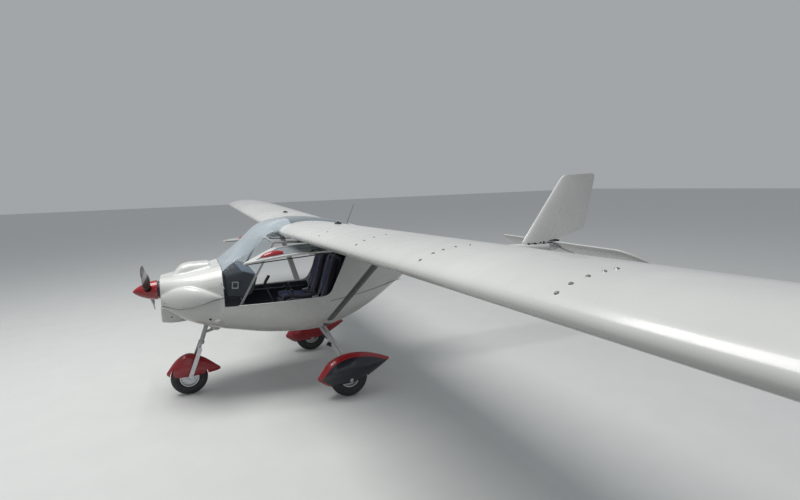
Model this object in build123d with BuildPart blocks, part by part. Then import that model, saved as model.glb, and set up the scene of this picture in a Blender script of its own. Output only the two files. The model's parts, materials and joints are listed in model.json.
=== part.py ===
from build123d import *
from math import cos, radians, sin, sqrt
import os

os.makedirs("parts", exist_ok=True)

# Two-seat high-wing ultralight aircraft, standing on its own wheels with both doors raised.
# Millimetres. X runs to the nose, Y to the left wing tip, Z up, with the ground at Z = 0.
# Stations are measured aft from the tip of the spinner, as on a fuselage drawing.

# Driving dimensions
LENGTH = 5810
SPAN = 10140
THRUST_Z = 1115
SILL_Z = 965
FIT = 0.05  # radial room of a shaft in its bore
GAP = 5  # room between moving surfaces

# Hull sections: station, half width, low, high, corner radius
COWL_SECTIONS = (
    (250, 235, 945, 1238, 115),
    (480, 375, 815, 1272, 170),
    (800, 475, 715, 1335, 190),
)
POD_SECTIONS = (
    (803, 475, 715, 1335, 190),
    (1250, 540, 635, 1560, 200),
    (1750, 540, 614, 1600, 200),
    (2200, 455, 735, 1595, 180),
    (2700, 225, 960, 1450, 120),
    (3060, 82, 1146, 1302, 70),
)
GLASS_SECTIONS = (
    (803, 475, 600, 1335, 190),
    (1000, 505, 600, 1515, 420),
    (1240, 530, 600, 1700, 380),
    (1420, 540, 600, 1745, 400),
    (1660, 540, 600, 1757, 400),
    (1920, 540, 600, 1724, 400),
    (2160, 540, 600, 1672, 400),
)
HUMP_SECTIONS = (  # fairing between the wing roots, behind the roof glass
    (2110, 530, 700, 1680, 400),
    (2420, 390, 800, 1580, 330),
    (2720, 215, 960, 1440, 120),
)
DOOR_SECTIONS = (
    (860, 497, 700, 1640, 150),
    (1400, 552, 700, 1640, 150),
    (1800, 547, 700, 1640, 150),
    (2200, 470, 700, 1640, 150),
)
UNDER_WING = ((2110, 1535), (2544, 1500), (2720, 1400))  # lowest line of the fairing
COWL_SKIN = 6
POD_WALL = 15
GLASS = 5
COWL_SPLIT_Z = 1000
COWL_END = COWL_SECTIONS[-1][0]
BULKHEADS = (2580, 3060)  # stations of the two plates that hold the boom
BULKHEAD_THICK = 20
POD_FRONT = POD_SECTIONS[0][0]

# Lines of the cabin, as station and height
POST_FOOT = (912, SILL_Z)
POST_HEAD = (1285, 1575)
REAR_FOOT = (1815, SILL_Z)
REAR_HEAD = (2120, 1535)
ROOF_FRONT = 1500
ROOF_REAR = (2155, 1800)
DOOR_HEAD_Z = 1506
SEAM_FRONT = (1815, 915)
SEAM_REAR = (2760, 1000)

# Bulges of the cowl: station, height, side, half width, half height
TOP_BULGE = (
    (345, 1212, 0, 60, 30),
    (400, 1226, 0, 98, 64),
    (480, 1250, 0, 118, 96),
    (600, 1276, 0, 120, 80),
    (712, 1300, 0, 120, 56),
)
CHEEK = (
    (250, 1055, 190, 62, 58),
    (380, 1065, 285, 62, 78),
    (520, 1092, 365, 70, 104),
    (640, 1075, 415, 55, 78),
    (790, 1052, 462, 14, 12),
)
CHIN = (
    (235, 895, 0, 150, 78),
    (470, 850, 0, 90, 36),
)
CHIN_WALL = 8
BELLY = (
    (640, 722, 0, 90, 14),
    (735, 712, 0, 110, 64),
    (800, 708, 0, 80, 42),
)


# Engine, propeller and spinner
SPINNER_LENGTH = 222
SPINNER_R = 95
HUB_R = 45
HUB_FRONT = 100
GEARBOX_FRONT = 226
GEARBOX_R = 88
ENGINE_FRONT = 290
ENGINE_LENGTH = 420
ENGINE_WIDTH = 330
ENGINE_HEIGHT = 230
FIREWALL_THICK = 8
PROP_STATION = 140
PROP_ANGLE = 25
BLADE_ROOT_R = 27
BLADE_SECTIONS = (  # radius, half chord, half thickness, pitch
    (40, 27, 27, 60),
    (130, 30, 20, 50),
    (260, 56, 12, 34),
    (750, 30, 4, 14),
)

# Wings
CHORD = 1180
THICKNESS = 0.15
CAMBER = 0.035
CAMBER_AT = 0.4
INCIDENCE = 6.3
DIHEDRAL = 1.35
ROOT_Y = 300
WING_LE = (1371, 1637)
WING_SKIN = 8
HINGE_AT = 0.80
FLAP_INNER = 505  # distances out from the wing root
FLAP_OUTER = 4305
FLAP_PIN = 22  # reach of the hinge pins past the flaperon's ends
FLAP_PIN_R = 7
NOSE_STEP = 1.5  # a surface's round nose stays under its skin by this
TIP_ROUND = 55

ANTENNA_FOOT = (2183, 0, 1642)
ANTENNA_TIP = (2283, 0, 1861)
ANTENNA_R = 3

# Lift struts, from the hull to the wing
STRUT_FOOT = (1780, 440, 650)
STRUT_HEAD = (1780, 2190, 1600)
STRUT_SECTION = (36, 13)

# Tail
BOOM_R = 57
BOOM_WALL = 4
BOOM_FRONT = (2500, 1235)
BOOM_REAR = (5040, 1163)
FIN_THICKNESS = 0.085
FIN_BASE = (4530, 1190, 5600)  # leading edge, height, trailing edge
FIN_TOP = (5245, 2140, 5810)
FIN_OUTLINE = ((4551, 1224), (5200, 2062), (5262, 2112), (5810, 2128), (5622, 1402), (5560, 1366), (5090, 1262))
RUDDER_HINGE = ((4992, 1250), (5432, 2128))
RUDDER_NOSE = (42.6, 24.1)  # half thickness at the low and high end of the hinge line
RUDDER_PIN_R = 6
RUDDER_HINGES = (0.2, 0.84)  # shares of the hinge line
HINGE_PLATE = 10
HINGE_EYE_R = 12
TAIL_PIVOT = (5200, 1168)
TAIL_CHORD = 560
TAIL_THICKNESS = 0.10
TAIL_PIVOT_AT = 0.27
TAIL_ANGLE = 25
TAIL_ROOT = 75
TAIL_SQUARE = 1080
TAIL_HALF = 1275
PIVOT_R = 18

# Landing gear
NOSE_AXLE = (437, 178)
NOSE_TYRE_R = 178
NOSE_TYRE_W = 92
LEG_TOP = (655, 742)
LEG_COLLAR = (572, 515)
LEG_R = 22
LEG_SUNK = 72  # length of its hole in the cowl past the top
LEG_BRACE_FOOT = 110
LEG_BRACE_HEAD = (840, 90, 700)
LEG_BRACE_R = 9
STEM_R = 15
ARM_Y = 98
ARM_THICK = 8
TOW_PIN = 16  # free end of the nose axle, for a tow bar
TYRE_ROOM = 8
MAIN_AXLE = (1890, 190)
MAIN_Y = 800
MAIN_TYRE_R = 190
MAIN_TYRE_W = 118
RIM_R = 92
HUB_BORE_R = 12.05
HUB_HALF = 40
AXLE_R = 12
PLATE_Y = 716
SPAT_WALL = 4
MAIN_SPAT = (  # station, height, side, half width, half height
    (1580, 218, 0, 14, 16),
    (1660, 238, 0, 78, 96),
    (1830, 268, 0, 106, 152),
    (2010, 286, 0, 100, 142),
    (2190, 306, 0, 58, 78),
    (2320, 316, 0, 10, 12),
)
MAIN_SPAT_LOW = 125
NOSE_SPAT = (
    (230, 240, 0, 12, 14),
    (300, 258, 0, 62, 88),
    (430, 280, 0, 86, 146),
    (580, 262, 0, 62, 108),
    (742, 226, 0, 9, 11),
)
NOSE_SPAT_LOW = 205

# Doors
DOOR_HINGE = (540, 1503)
DOOR_OPEN = 88
DOOR_HINGE_STATIONS = (1420, 1960)
KNUCKLE_R = 9
KNUCKLE_HALF = 15
DOOR_PIN_R = 4
DOOR_THICK = 14
DOOR_FRAME = 42
DOOR_GLASS = 4
PANE_INSET = 5
VENT = (  # station, height, side, half width, half height
    (1090, 1130, -14, 3, 4),
    (1140, 1130, -8, 30, 34),
    (1240, 1130, 0, 42, 40),
    (1300, 1130, 0, 30, 30),
)
VENT_SINK = 22


def aft(station):
    """X of a station measured aft from the spinner's tip."""
    return LENGTH / 2 - station


def point(station, y, z):
    return Vector(aft(station), y, z)


def across(station, z, y=0):
    """Plane square to the hull at a station, facing the nose, its X to the left."""
    return Plane((aft(station), y, z), x_dir=(0, 1, 0), z_dir=(1, 0, 0))


def along(a, b, x_dir=None):
    """Plane at a whose normal runs towards b."""
    return Plane(origin=a, x_dir=x_dir, z_dir=b - a)


def hull(sections, inset=0):
    """Solid lofted through rounded rectangles, all drawn in by the inset."""
    with BuildPart() as body:
        for station, half_width, low, high, radius in sections:
            with BuildSketch(across(station, (low + high) / 2)):
                RectangleRounded(
                    2 * (half_width - inset), high - low - 2 * inset, radius - inset
                )
        loft()
    return body.part


def pod(sections, y=0, inset=0):
    """Solid lofted through upright ellipses, set out to one side."""
    with BuildPart() as body:
        for station, z, out, half_width, half_height in sections:
            with BuildSketch(across(station, z, y + out)):
                Ellipse(half_width - inset, half_height - inset)
        loft()
    return body.part


def slab(points, from_y=-700, to_y=700):
    """Block across the hull with a side outline of stations and heights."""
    with BuildPart() as block:
        with BuildSketch(Plane.XZ.offset(-to_y)):
            with BuildLine():
                Polyline(*[(aft(s), z) for s, z in points], close=True)
            make_face()
        extrude(amount=to_y - from_y)
    return block.part


def rod(a, b, radius, bore=0):
    """Round bar or tube from a to b."""
    with BuildPart() as bar:
        with BuildSketch(along(a, b)):
            Circle(radius)
            if bore:
                Circle(bore, mode=Mode.SUBTRACT)
        extrude(amount=(b - a).length)
    return bar.part


def section_line(chord, thickness, camber, upper, first, last, inset=0, count=8):
    """Points of one side of a wing section, X aft and Y up, from first to last fraction."""
    points = []
    for i in range(count):
        f = first + (last - first) * (1 - cos(radians(90 * i / (count - 1))))
        half = 5 * thickness * (
            0.2969 * sqrt(f) - 0.126 * f - 0.3516 * f**2 + 0.2843 * f**3 - 0.1036 * f**4
        )
        if f < CAMBER_AT:
            mean = camber * (2 * CAMBER_AT * f - f**2) / CAMBER_AT**2
        else:
            mean = camber * (1 - 2 * CAMBER_AT + 2 * CAMBER_AT * f - f**2) / (1 - CAMBER_AT) ** 2
        height = mean + half if upper else mean - half
        points.append((f * chord, height * chord - (inset if upper else -inset)))
    return points


def save(part, name):
    part.label = name
    export_step(part, f"parts/{name}.step")


def save_pair(part, name):
    """Write a left-hand piece and its right-hand mirror image."""
    save(part, f"{name}_left")
    save(mirror(part, about=Plane.XZ), f"{name}_right")


def save_twins(part, name):
    """Write a left-hand piece and its mirror image as one node."""
    with BuildPart() as twins:
        add(part)
        mirror(about=Plane.XZ)
    save(twins.part, name)


# Propeller group
with BuildPart() as spinner:
    with BuildSketch(Plane.XZ):
        with BuildLine():
            Spline(
                (aft(0), THRUST_Z), (aft(90), THRUST_Z + 0.69 * SPINNER_R),
                (aft(SPINNER_LENGTH), THRUST_Z + SPINNER_R), tangents=((0, 1), (-1, 0)),
            )
            Polyline(
                (aft(SPINNER_LENGTH), THRUST_Z + SPINNER_R), (aft(SPINNER_LENGTH), THRUST_Z + HUB_R),
                (aft(HUB_FRONT), THRUST_Z + HUB_R), (aft(HUB_FRONT), THRUST_Z), (aft(0), THRUST_Z),
            )
        make_face()
    revolve(axis=Axis((0, 0, THRUST_Z), (1, 0, 0)))
    blade_way = Vector(0, cos(radians(PROP_ANGLE)), sin(radians(PROP_ANGLE)))
    with BuildSketch(Plane(point(PROP_STATION, 0, THRUST_Z), x_dir=(1, 0, 0), z_dir=blade_way)):
        Circle(BLADE_ROOT_R + GAP)
    extrude(amount=SPINNER_R + GAP, both=True, mode=Mode.SUBTRACT)
save(spinner.part, "spinner")

with BuildPart() as propeller:
    with BuildSketch(across(GEARBOX_FRONT, THRUST_Z)):
        Circle(HUB_R)
    extrude(amount=GEARBOX_FRONT - HUB_FRONT)
    for turn in (PROP_ANGLE, PROP_ANGLE + 180):
        out = Vector(0, cos(radians(turn)), sin(radians(turn)))
        tangent = Vector(0, -sin(radians(turn)), cos(radians(turn)))
        for radius, half_chord, half_thick, pitch in BLADE_SECTIONS:
            chord_way = tangent * cos(radians(pitch)) - Vector(1, 0, 0) * sin(radians(pitch))
            centre = point(PROP_STATION, 0, THRUST_Z) + out * radius
            with BuildSketch(Plane(centre, x_dir=chord_way, z_dir=out)):
                Ellipse(half_chord, half_thick)
        loft()
save(propeller.part, "propeller")

with BuildPart() as gearbox:
    with BuildSketch(across(ENGINE_FRONT, THRUST_Z)):
        Circle(GEARBOX_R)
    extrude(amount=ENGINE_FRONT - GEARBOX_FRONT)
    chamfer(gearbox.faces().sort_by(Axis.X)[-1].edges(), 12)
save(gearbox.part, "gearbox")

engine_tail = ENGINE_FRONT + ENGINE_LENGTH
with BuildPart() as engine:
    with BuildSketch(across(engine_tail, THRUST_Z - 20)):
        RectangleRounded(ENGINE_WIDTH, ENGINE_HEIGHT, 25)
    extrude(amount=ENGINE_LENGTH)
    with BuildSketch(across(800 - FIREWALL_THICK, THRUST_Z - 20)):
        with GridLocations(ENGINE_WIDTH - 80, ENGINE_HEIGHT - 80, 2, 2):
            Circle(18)
    extrude(amount=800 - FIREWALL_THICK - engine_tail)
save(engine.part, "engine_block")

leg_top = point(LEG_TOP[0], 0, LEG_TOP[1])
leg_collar = point(LEG_COLLAR[0], 0, LEG_COLLAR[1])
leg_way = (leg_top - leg_collar).normalized()
leg_braces = [
    (leg_collar + leg_way * LEG_BRACE_FOOT, point(LEG_BRACE_HEAD[0], y, LEG_BRACE_HEAD[2]))
    for y in (-LEG_BRACE_HEAD[1], LEG_BRACE_HEAD[1])
]
cowl_core = hull(COWL_SECTIONS, COWL_SKIN)
# Cowl with its cheek and top bulges, chin intake and round mouth
with BuildPart() as cowl:
    add(hull(COWL_SECTIONS))
    add(pod(TOP_BULGE))
    add(pod(CHEEK))
    add(mirror(pod(CHEEK), about=Plane.XZ))
    add(pod(CHIN))
    add(cowl_core, mode=Mode.SUBTRACT)
    add(pod(CHIN, 0, CHIN_WALL), mode=Mode.SUBTRACT)
    add(pod(BELLY))
    add(pod(BELLY, 0, CHIN_WALL), mode=Mode.SUBTRACT)
    front = COWL_SECTIONS[0]
    with BuildSketch(across(front[0] + COWL_SKIN, (front[2] + front[3]) / 2)):
        RectangleRounded(2 * front[1], front[3] - front[2], front[4])
    extrude(amount=COWL_SKIN)
    with BuildSketch(across(front[0] + 2 * COWL_SKIN, THRUST_Z)):
        Circle(GEARBOX_R + 8)
    extrude(amount=3 * COWL_SKIN, mode=Mode.SUBTRACT)
    add(
        rod(leg_collar, leg_top + leg_way * LEG_SUNK, LEG_R + 12),
        mode=Mode.SUBTRACT,
    )
    for brace in leg_braces:
        add(rod(*brace, LEG_BRACE_R + GAP), mode=Mode.SUBTRACT)
cowl_end = COWL_SECTIONS[-1]
with BuildPart() as firewall:
    with BuildSketch(across(POD_FRONT, (cowl_end[2] + cowl_end[3]) / 2)):
        RectangleRounded(
            2 * (cowl_end[1] - COWL_SKIN), cowl_end[3] - cowl_end[2] - 2 * COWL_SKIN,
            cowl_end[4] - COWL_SKIN,
        )
    extrude(amount=POD_FRONT - COWL_END + FIREWALL_THICK)
    add(cowl.part, mode=Mode.SUBTRACT)
save(firewall.part, "firewall")

with BuildPart() as cowl_upper:
    add(cowl.part)
    split(bisect_by=Plane.XY.offset(COWL_SPLIT_Z), keep=Keep.TOP)
save(cowl_upper.part, "cowl_upper")
with BuildPart() as cowl_lower:
    add(cowl.part)
    split(bisect_by=Plane.XY.offset(COWL_SPLIT_Z), keep=Keep.BOTTOM)
save(cowl_lower.part, "cowl_lower")

# Wings: section placed at the root and drawn out along the dihedral
wing_plane = Plane(
    point(WING_LE[0], ROOT_Y, WING_LE[1]),
    x_dir=(-cos(radians(INCIDENCE)), 0, -sin(radians(INCIDENCE))),
    z_dir=(0, 1, 0),
)
out_way = Vector(0, cos(radians(DIHEDRAL)), sin(radians(DIHEDRAL)))
half_wing = (SPAN / 2 - ROOT_Y) / cos(radians(DIHEDRAL))
hinge_line = section_line(CHORD, THICKNESS, CAMBER, True, HINGE_AT, HINGE_AT, 0, 2)[0]
hinge_under = section_line(CHORD, THICKNESS, CAMBER, False, HINGE_AT, HINGE_AT, 0, 2)[0]
FLAP_R = (hinge_line[1] - hinge_under[1]) / 2 - NOSE_STEP
flap_centre = (hinge_line[0], (hinge_line[1] + hinge_under[1]) / 2)


def wing_local(x, up, out):
    """Point of the wing from its root: aft along the chord, up from it, and out."""
    return wing_plane.from_local_coords(Vector(x, up, 0)) + out_way * out


def wing_blank(first, last, inset, inner, outer):
    """Length of wing section between two chord fractions."""
    with BuildPart() as blank:
        base = Plane(
            wing_plane.origin + out_way * inner, x_dir=wing_plane.x_dir, z_dir=(0, 1, 0)
        )
        with BuildSketch(base):
            with BuildLine():
                top = section_line(CHORD, THICKNESS, CAMBER, True, first, last, inset)
                low = section_line(CHORD, THICKNESS, CAMBER, False, first, last, inset)
                Spline(*top)
                if low[0] != top[0]:
                    Line(top[0], low[0])
                Spline(*low)
                Line(top[-1], low[-1])
            make_face()
        extrude(amount=outer - inner, dir=out_way)
    return blank.part


def flap_pin(reach, radius):
    """Hinge rod of the flaperon, reaching past both its ends."""
    return rod(
        wing_local(*flap_centre, FLAP_INNER - reach), wing_local(*flap_centre, FLAP_OUTER + reach), radius
    )


tip_front = aft(WING_LE[0]) + 20
tip_rear = tip_front - CHORD - 40
with BuildPart() as planform:
    with BuildSketch(Plane.XY):
        with Locations(((tip_front + tip_rear) / 2, 0)):
            RectangleRounded(tip_front - tip_rear, SPAN, TIP_ROUND)
    extrude(amount=2500)

with BuildPart() as wing:
    add(wing_blank(0, 1, 0, 0, half_wing))
    add(planform.part, mode=Mode.INTERSECT)
    wing_outer = wing.part
    add(wing_blank(0.04, 0.72, WING_SKIN, 12, half_wing - 420), mode=Mode.SUBTRACT)
    bay = (wing_local(*flap_centre, FLAP_INNER - GAP), wing_local(*flap_centre, FLAP_OUTER + GAP))
    with BuildSketch(along(*bay, x_dir=wing_plane.x_dir)):
        Circle(FLAP_R + GAP)
        with Locations((CHORD / 4, 0)):
            Rectangle(CHORD / 2, CHORD / 2)
    extrude(amount=(bay[1] - bay[0]).length, mode=Mode.SUBTRACT)
    add(flap_pin(2 * FLAP_PIN, FLAP_PIN_R + FIT), mode=Mode.SUBTRACT)
save_pair(wing.part, "wing")

with BuildPart() as wing_roots:
    add(wing_blank(0, 1, 0, 0, ROOT_Y))
    mirror(about=Plane.XZ)

# Cabin tub, rear fairing and glass, cut from lofted shells
pod_solid = hull(POD_SECTIONS)
pod_core = hull(POD_SECTIONS, POD_WALL)
pod_end = POD_SECTIONS[-1][0]
tub_outline = (
    (POD_FRONT, 500), (POD_FRONT, SILL_Z), REAR_FOOT, SEAM_FRONT, SEAM_REAR, (SEAM_REAR[0], 500),
)
rear_outline = (
    SEAM_FRONT, REAR_FOOT, REAR_HEAD, ROOF_REAR, (pod_end, ROOF_REAR[1]), (pod_end, 900), SEAM_REAR,
)
boom_axis = (point(BOOM_FRONT[0], 0, BOOM_FRONT[1]), point(BOOM_REAR[0], 0, BOOM_REAR[1]))
with BuildPart() as tub:
    add(pod_solid)
    add(pod_core, mode=Mode.SUBTRACT)
    add(slab(tub_outline), mode=Mode.INTERSECT)
save(tub.part, "cabin_tub")

with BuildPart() as bulkheads:
    for station in BULKHEADS:
        with BuildSketch(across(station, BOOM_FRONT[1])):
            Rectangle(2 * POD_SECTIONS[1][1], 2 * POD_SECTIONS[1][1])
        extrude(amount=BULKHEAD_THICK)
    add(pod_core, mode=Mode.INTERSECT)
above_wing = slab(((HUMP_SECTIONS[0][0], 1800), *UNDER_WING, (HUMP_SECTIONS[-1][0], 1800)))
with BuildPart() as hump:
    add(hull(HUMP_SECTIONS))
    add(above_wing, mode=Mode.INTERSECT)
with BuildPart() as hump_core:
    add(hull(HUMP_SECTIONS, POD_WALL))
    add(above_wing, mode=Mode.INTERSECT)
with BuildPart() as rear:
    add(pod_solid)
    add(hump.part)
    add(pod_core, mode=Mode.SUBTRACT)
    add(hump_core.part, mode=Mode.SUBTRACT)
    add(bulkheads.part)
    add(slab(rear_outline), mode=Mode.INTERSECT)
    add(rod(*boom_axis, BOOM_R), mode=Mode.SUBTRACT)
    add(wing_roots.part, mode=Mode.SUBTRACT)
save(rear.part, "rear_fairing")

glass_solid = hull(GLASS_SECTIONS)
glass_core = hull(GLASS_SECTIONS, GLASS)
screen_outline = (
    (POD_FRONT, SILL_Z), POST_FOOT, POST_HEAD, (WING_LE[0], 1600), (ROOF_FRONT, 1660), (ROOF_FRONT, 1800),
    (POD_FRONT, 1800),
)
roof_outline = ((ROOF_FRONT, 1660), REAR_HEAD, ROOF_REAR, (ROOF_FRONT, 1800))
for outline, half_width, name in (
    (screen_outline, 2 * ROOT_Y, "windscreen"), (roof_outline, ROOT_Y, "roof_glass")
):
    with BuildPart() as pane:
        add(glass_solid)
        add(glass_core, mode=Mode.SUBTRACT)
        add(slab(outline, -half_width, half_width), mode=Mode.INTERSECT)
        add(wing_roots.part, mode=Mode.SUBTRACT)
    save(pane.part, name)

# Welded tube frame of the cabin
FRAME_R = 12
FRAME_INSET = 38
FRAME_FRONT_LOW = (930, 432, 925)  # corners as station, side and height
FRAME_FRONT_HIGH = (1300, 432, 1545)
FRAME_REAR_LOW = (1840, 467, 900)
FRAME_REAR_HIGH = (2100, 415, 1500)
FRAME_FEET = (0.08, 0.5, 0.93)  # shares of the sill tube
FOOT_R = 9
DOOR_ARM_R = 5
front_low, front_high, rear_low, rear_high = [
    point(*corner)
    for corner in (FRAME_FRONT_LOW, FRAME_FRONT_HIGH, FRAME_REAR_LOW, FRAME_REAR_HIGH)
]
frame_runs = (
    (front_low, front_high), (front_high, rear_high), (rear_low, rear_high), (front_low, rear_low),
)
frame_bars = [(high, Vector(high.X, -high.Y, high.Z)) for high in (front_high, rear_high)]
frame_feet = []
for share in FRAME_FEET:
    start = front_low + (rear_low - front_low) * share
    with BuildPart() as foot:
        add(rod(start, start + Vector(0, 150, 0), FOOT_R))
        add(pod_core, mode=Mode.INTERSECT)
    frame_feet.append(foot.part)


def door_arm(station, grow=0):
    """Arm from the roof rail out to a door's knuckle."""
    share = (station - FRAME_FRONT_HIGH[0]) / (FRAME_REAR_HIGH[0] - FRAME_FRONT_HIGH[0])
    start = front_high + (rear_high - front_high) * share
    return rod(start, point(station, *DOOR_HINGE), DOOR_ARM_R + grow)


with BuildPart() as frame:
    for a, b in frame_runs:
        add(rod(a, b, FRAME_R))
        add(mirror(rod(a, b, FRAME_R), about=Plane.XZ))
        with Locations(a, b, (a.X, -a.Y, a.Z), (b.X, -b.Y, b.Z)):
            Sphere(FRAME_R)
    for a, b in frame_bars:
        add(rod(a, b, FRAME_R))
    for foot in frame_feet:
        add(foot)
        add(mirror(foot, about=Plane.XZ))
    for station in DOOR_HINGE_STATIONS:
        add(door_arm(station))
        add(mirror(door_arm(station), about=Plane.XZ))
        for y in (-1, 1):
            knuckle = point(station, y * DOOR_HINGE[0], DOOR_HINGE[1])
            half = Vector(KNUCKLE_HALF, 0, 0)
            add(rod(knuckle - half, knuckle + half, KNUCKLE_R))
            add(rod(knuckle - half * 2, knuckle + half * 2, DOOR_PIN_R + FIT), mode=Mode.SUBTRACT)
save(frame.part, "cabin_frame")

# Cabin fittings
dash_outline = ((830, 1045), (830, 1250), (1000, 1275), (1115, 1190), (1105, 1090), (1050, 1040))
with BuildPart() as dash:
    add(hull(GLASS_SECTIONS, 30))
    add(slab(dash_outline, -FRAME_FRONT_LOW[1], FRAME_FRONT_LOW[1]), mode=Mode.INTERSECT)
    add(frame.part, mode=Mode.SUBTRACT)
save(dash.part, "instrument_panel")

with BuildPart() as floor:
    add(pod_core)
    add(slab(((1000, 705), (1000, 713), (1960, 713), (1960, 705)), -420, 420), mode=Mode.INTERSECT)
    add(slab(((1060, 713), (1060, 800), (1480, 840), (1900, 840), (1900, 713)), -45, 45))
save(floor.part, "cabin_floor")

seat_outline = (
    (1420, 713), (1420, 850), (1460, 880), (1720, 850), (1800, 880), (1925, 1340), (1985, 1360),
    (2005, 1335), (1890, 800), (1840, 713),
)
SEAT_INNER = 55
SEAT_OUTER = 418
with BuildPart() as seat:
    add(slab(seat_outline, SEAT_INNER, SEAT_OUTER))
    fillet(seat.edges().filter_by(Axis.Y), 12)
save_twins(seat.part, "seats")

with BuildPart() as stick:
    add(rod(point(1340, 0, 826), point(1250, 0, 1050), 9))
    add(rod(point(1254, 0, 1040), point(1300, 0, 1150), 15))
    with Locations(point(1250, 0, 1050)):
        Sphere(15)
    add(floor.part, mode=Mode.SUBTRACT)
save(stick.part, "control_stick")

with BuildPart() as pedals:
    for y in (-290, -150, 150, 290):
        add(rod(point(1060, y, 713), point(1030, y, 860), 7))
        add(rod(point(1030, y - 45, 860), point(1030, y + 45, 860), 9))
    add(floor.part, mode=Mode.SUBTRACT)
save(pedals.part, "rudder_pedals")

# Flaperons and lift struts
with BuildPart() as flap:
    add(wing_blank(HINGE_AT, 1, 0, FLAP_INNER, FLAP_OUTER))
    add(rod(wing_local(*flap_centre, FLAP_INNER), wing_local(*flap_centre, FLAP_OUTER), FLAP_R))
    add(flap_pin(FLAP_PIN, FLAP_PIN_R))
save_pair(flap.part, "flaperon")

strut_foot = point(*STRUT_FOOT)
strut_head = point(*STRUT_HEAD)
with BuildPart() as strut:
    with BuildSketch(along(strut_foot, strut_head, x_dir=(1, 0, 0))):
        Ellipse(*STRUT_SECTION)
    extrude(amount=(strut_head - strut_foot).length)
    add(pod_solid, mode=Mode.SUBTRACT)
    add(wing_outer, mode=Mode.SUBTRACT)
save_twins(strut.part, "lift_struts")

# Tail boom, its end fitting, fin and rudder
with BuildPart() as boom:
    add(rod(*boom_axis, BOOM_R, BOOM_R - BOOM_WALL))
save(boom.part, "tail_boom")

with BuildPart() as fin_blank:
    for lead, z, trail in (FIN_BASE, FIN_TOP):
        chord = trail - lead
        with BuildSketch(Plane((aft(lead), 0, z), x_dir=(-1, 0, 0), z_dir=(0, 0, 1))):
            with BuildLine():
                Spline(*section_line(chord, FIN_THICKNESS, 0, True, 0, 1))
                Spline(*section_line(chord, FIN_THICKNESS, 0, False, 0, 1))
                Line(
                    section_line(chord, FIN_THICKNESS, 0, True, 1, 1, 0, 2)[0],
                    section_line(chord, FIN_THICKNESS, 0, False, 1, 1, 0, 2)[0],
                )
            make_face()
    loft(ruled=True)
    add(slab(FIN_OUTLINE), mode=Mode.INTERSECT)

hinge_low = point(RUDDER_HINGE[0][0], 0, RUDDER_HINGE[0][1])
hinge_high = point(RUDDER_HINGE[1][0], 0, RUDDER_HINGE[1][1])
hinge_run = hinge_high - hinge_low
behind = ((RUDDER_HINGE[0]), (RUDDER_HINGE[1]), (6200, 2128), (6200, 1250))


def rudder_nose(grow):
    """Tapered round along the hinge line, as thick as the fin less its step."""
    low_r, high_r = [r - NOSE_STEP + grow for r in RUDDER_NOSE]
    extra = 100 / hinge_run.length
    with BuildPart() as nose:
        for share in (-extra, 1 + extra):
            with BuildSketch(along(hinge_low + hinge_run * share, hinge_high + hinge_run * 2)):
                Circle(low_r + (high_r - low_r) * share)
        loft()
    return nose.part


hinge_planes = [
    Plane(
        hinge_low + hinge_run * share, x_dir=hinge_run.cross(Vector(0, -1, 0)), z_dir=hinge_run
    )
    for share in RUDDER_HINGES
]
with BuildPart() as hinge_plates:
    with BuildSketch(*hinge_planes):
        Circle(HINGE_EYE_R)
        with Locations((40, 0)):
            Rectangle(80, 2 * HINGE_EYE_R)
        Circle(RUDDER_PIN_R + FIT, mode=Mode.SUBTRACT)
    extrude(amount=HINGE_PLATE / 2, both=True)
with BuildPart() as hinge_slots:
    with BuildSketch(*hinge_planes):
        Circle(HINGE_EYE_R + GAP)
        with Locations((50, 0)):
            Rectangle(100, 100)
    extrude(amount=HINGE_PLATE / 2 + GAP, both=True)
with BuildPart() as hinge_pins:
    with BuildSketch(*hinge_planes):
        Circle(RUDDER_PIN_R)
    extrude(amount=HINGE_PLATE / 2 + GAP, both=True)

with BuildPart() as fin:
    add(fin_blank.part)
    add(slab(behind), mode=Mode.SUBTRACT)
    add(rudder_nose(GAP), mode=Mode.SUBTRACT)
    add(hinge_plates.part)
    with BuildSketch(Plane.XZ):
        with BuildLine():
            Polyline(
                (aft(4600), 1150), (aft(4600), 1240), (aft(4930), 1250), (aft(4930), 1150), close=True
            )
        make_face()
    extrude(amount=5, both=True)
    add(rod(*boom_axis, BOOM_R), mode=Mode.SUBTRACT)
save(fin.part, "fin")

with BuildPart() as nose_round:
    add(rudder_nose(0))
    add(slab(FIN_OUTLINE), mode=Mode.INTERSECT)
with BuildPart() as rudder:
    add(fin_blank.part)
    add(slab(behind), mode=Mode.INTERSECT)
    add(nose_round.part)
    add(hinge_slots.part, mode=Mode.SUBTRACT)
    add(hinge_pins.part)
save(rudder.part, "rudder")

# All-moving tailplane on a cross tube through the boom's end fitting
pivot = point(TAIL_PIVOT[0], 0, TAIL_PIVOT[1])
with BuildPart() as fitting:
    with BuildSketch(along(boom_axis[1], boom_axis[0])):
        Circle(BOOM_R + 8)
        Circle(BOOM_R, mode=Mode.SUBTRACT)
    extrude(amount=60)
    with BuildSketch(along(boom_axis[1], boom_axis[0])):
        Circle(BOOM_R + 8)
    extrude(amount=-12)
    with BuildSketch(Plane.XZ.offset(-30), Plane.XZ.offset(20)):
        with BuildLine():
            Polyline(
                (aft(5048), 1115), (aft(5048), 1205), (aft(5225), 1195), (aft(5225), 1140), close=True
            )
        make_face()
        with Locations((pivot.X, pivot.Z)):
            Circle(PIVOT_R + FIT, mode=Mode.SUBTRACT)
    extrude(amount=10)
save(fitting.part, "boom_fitting")

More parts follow.
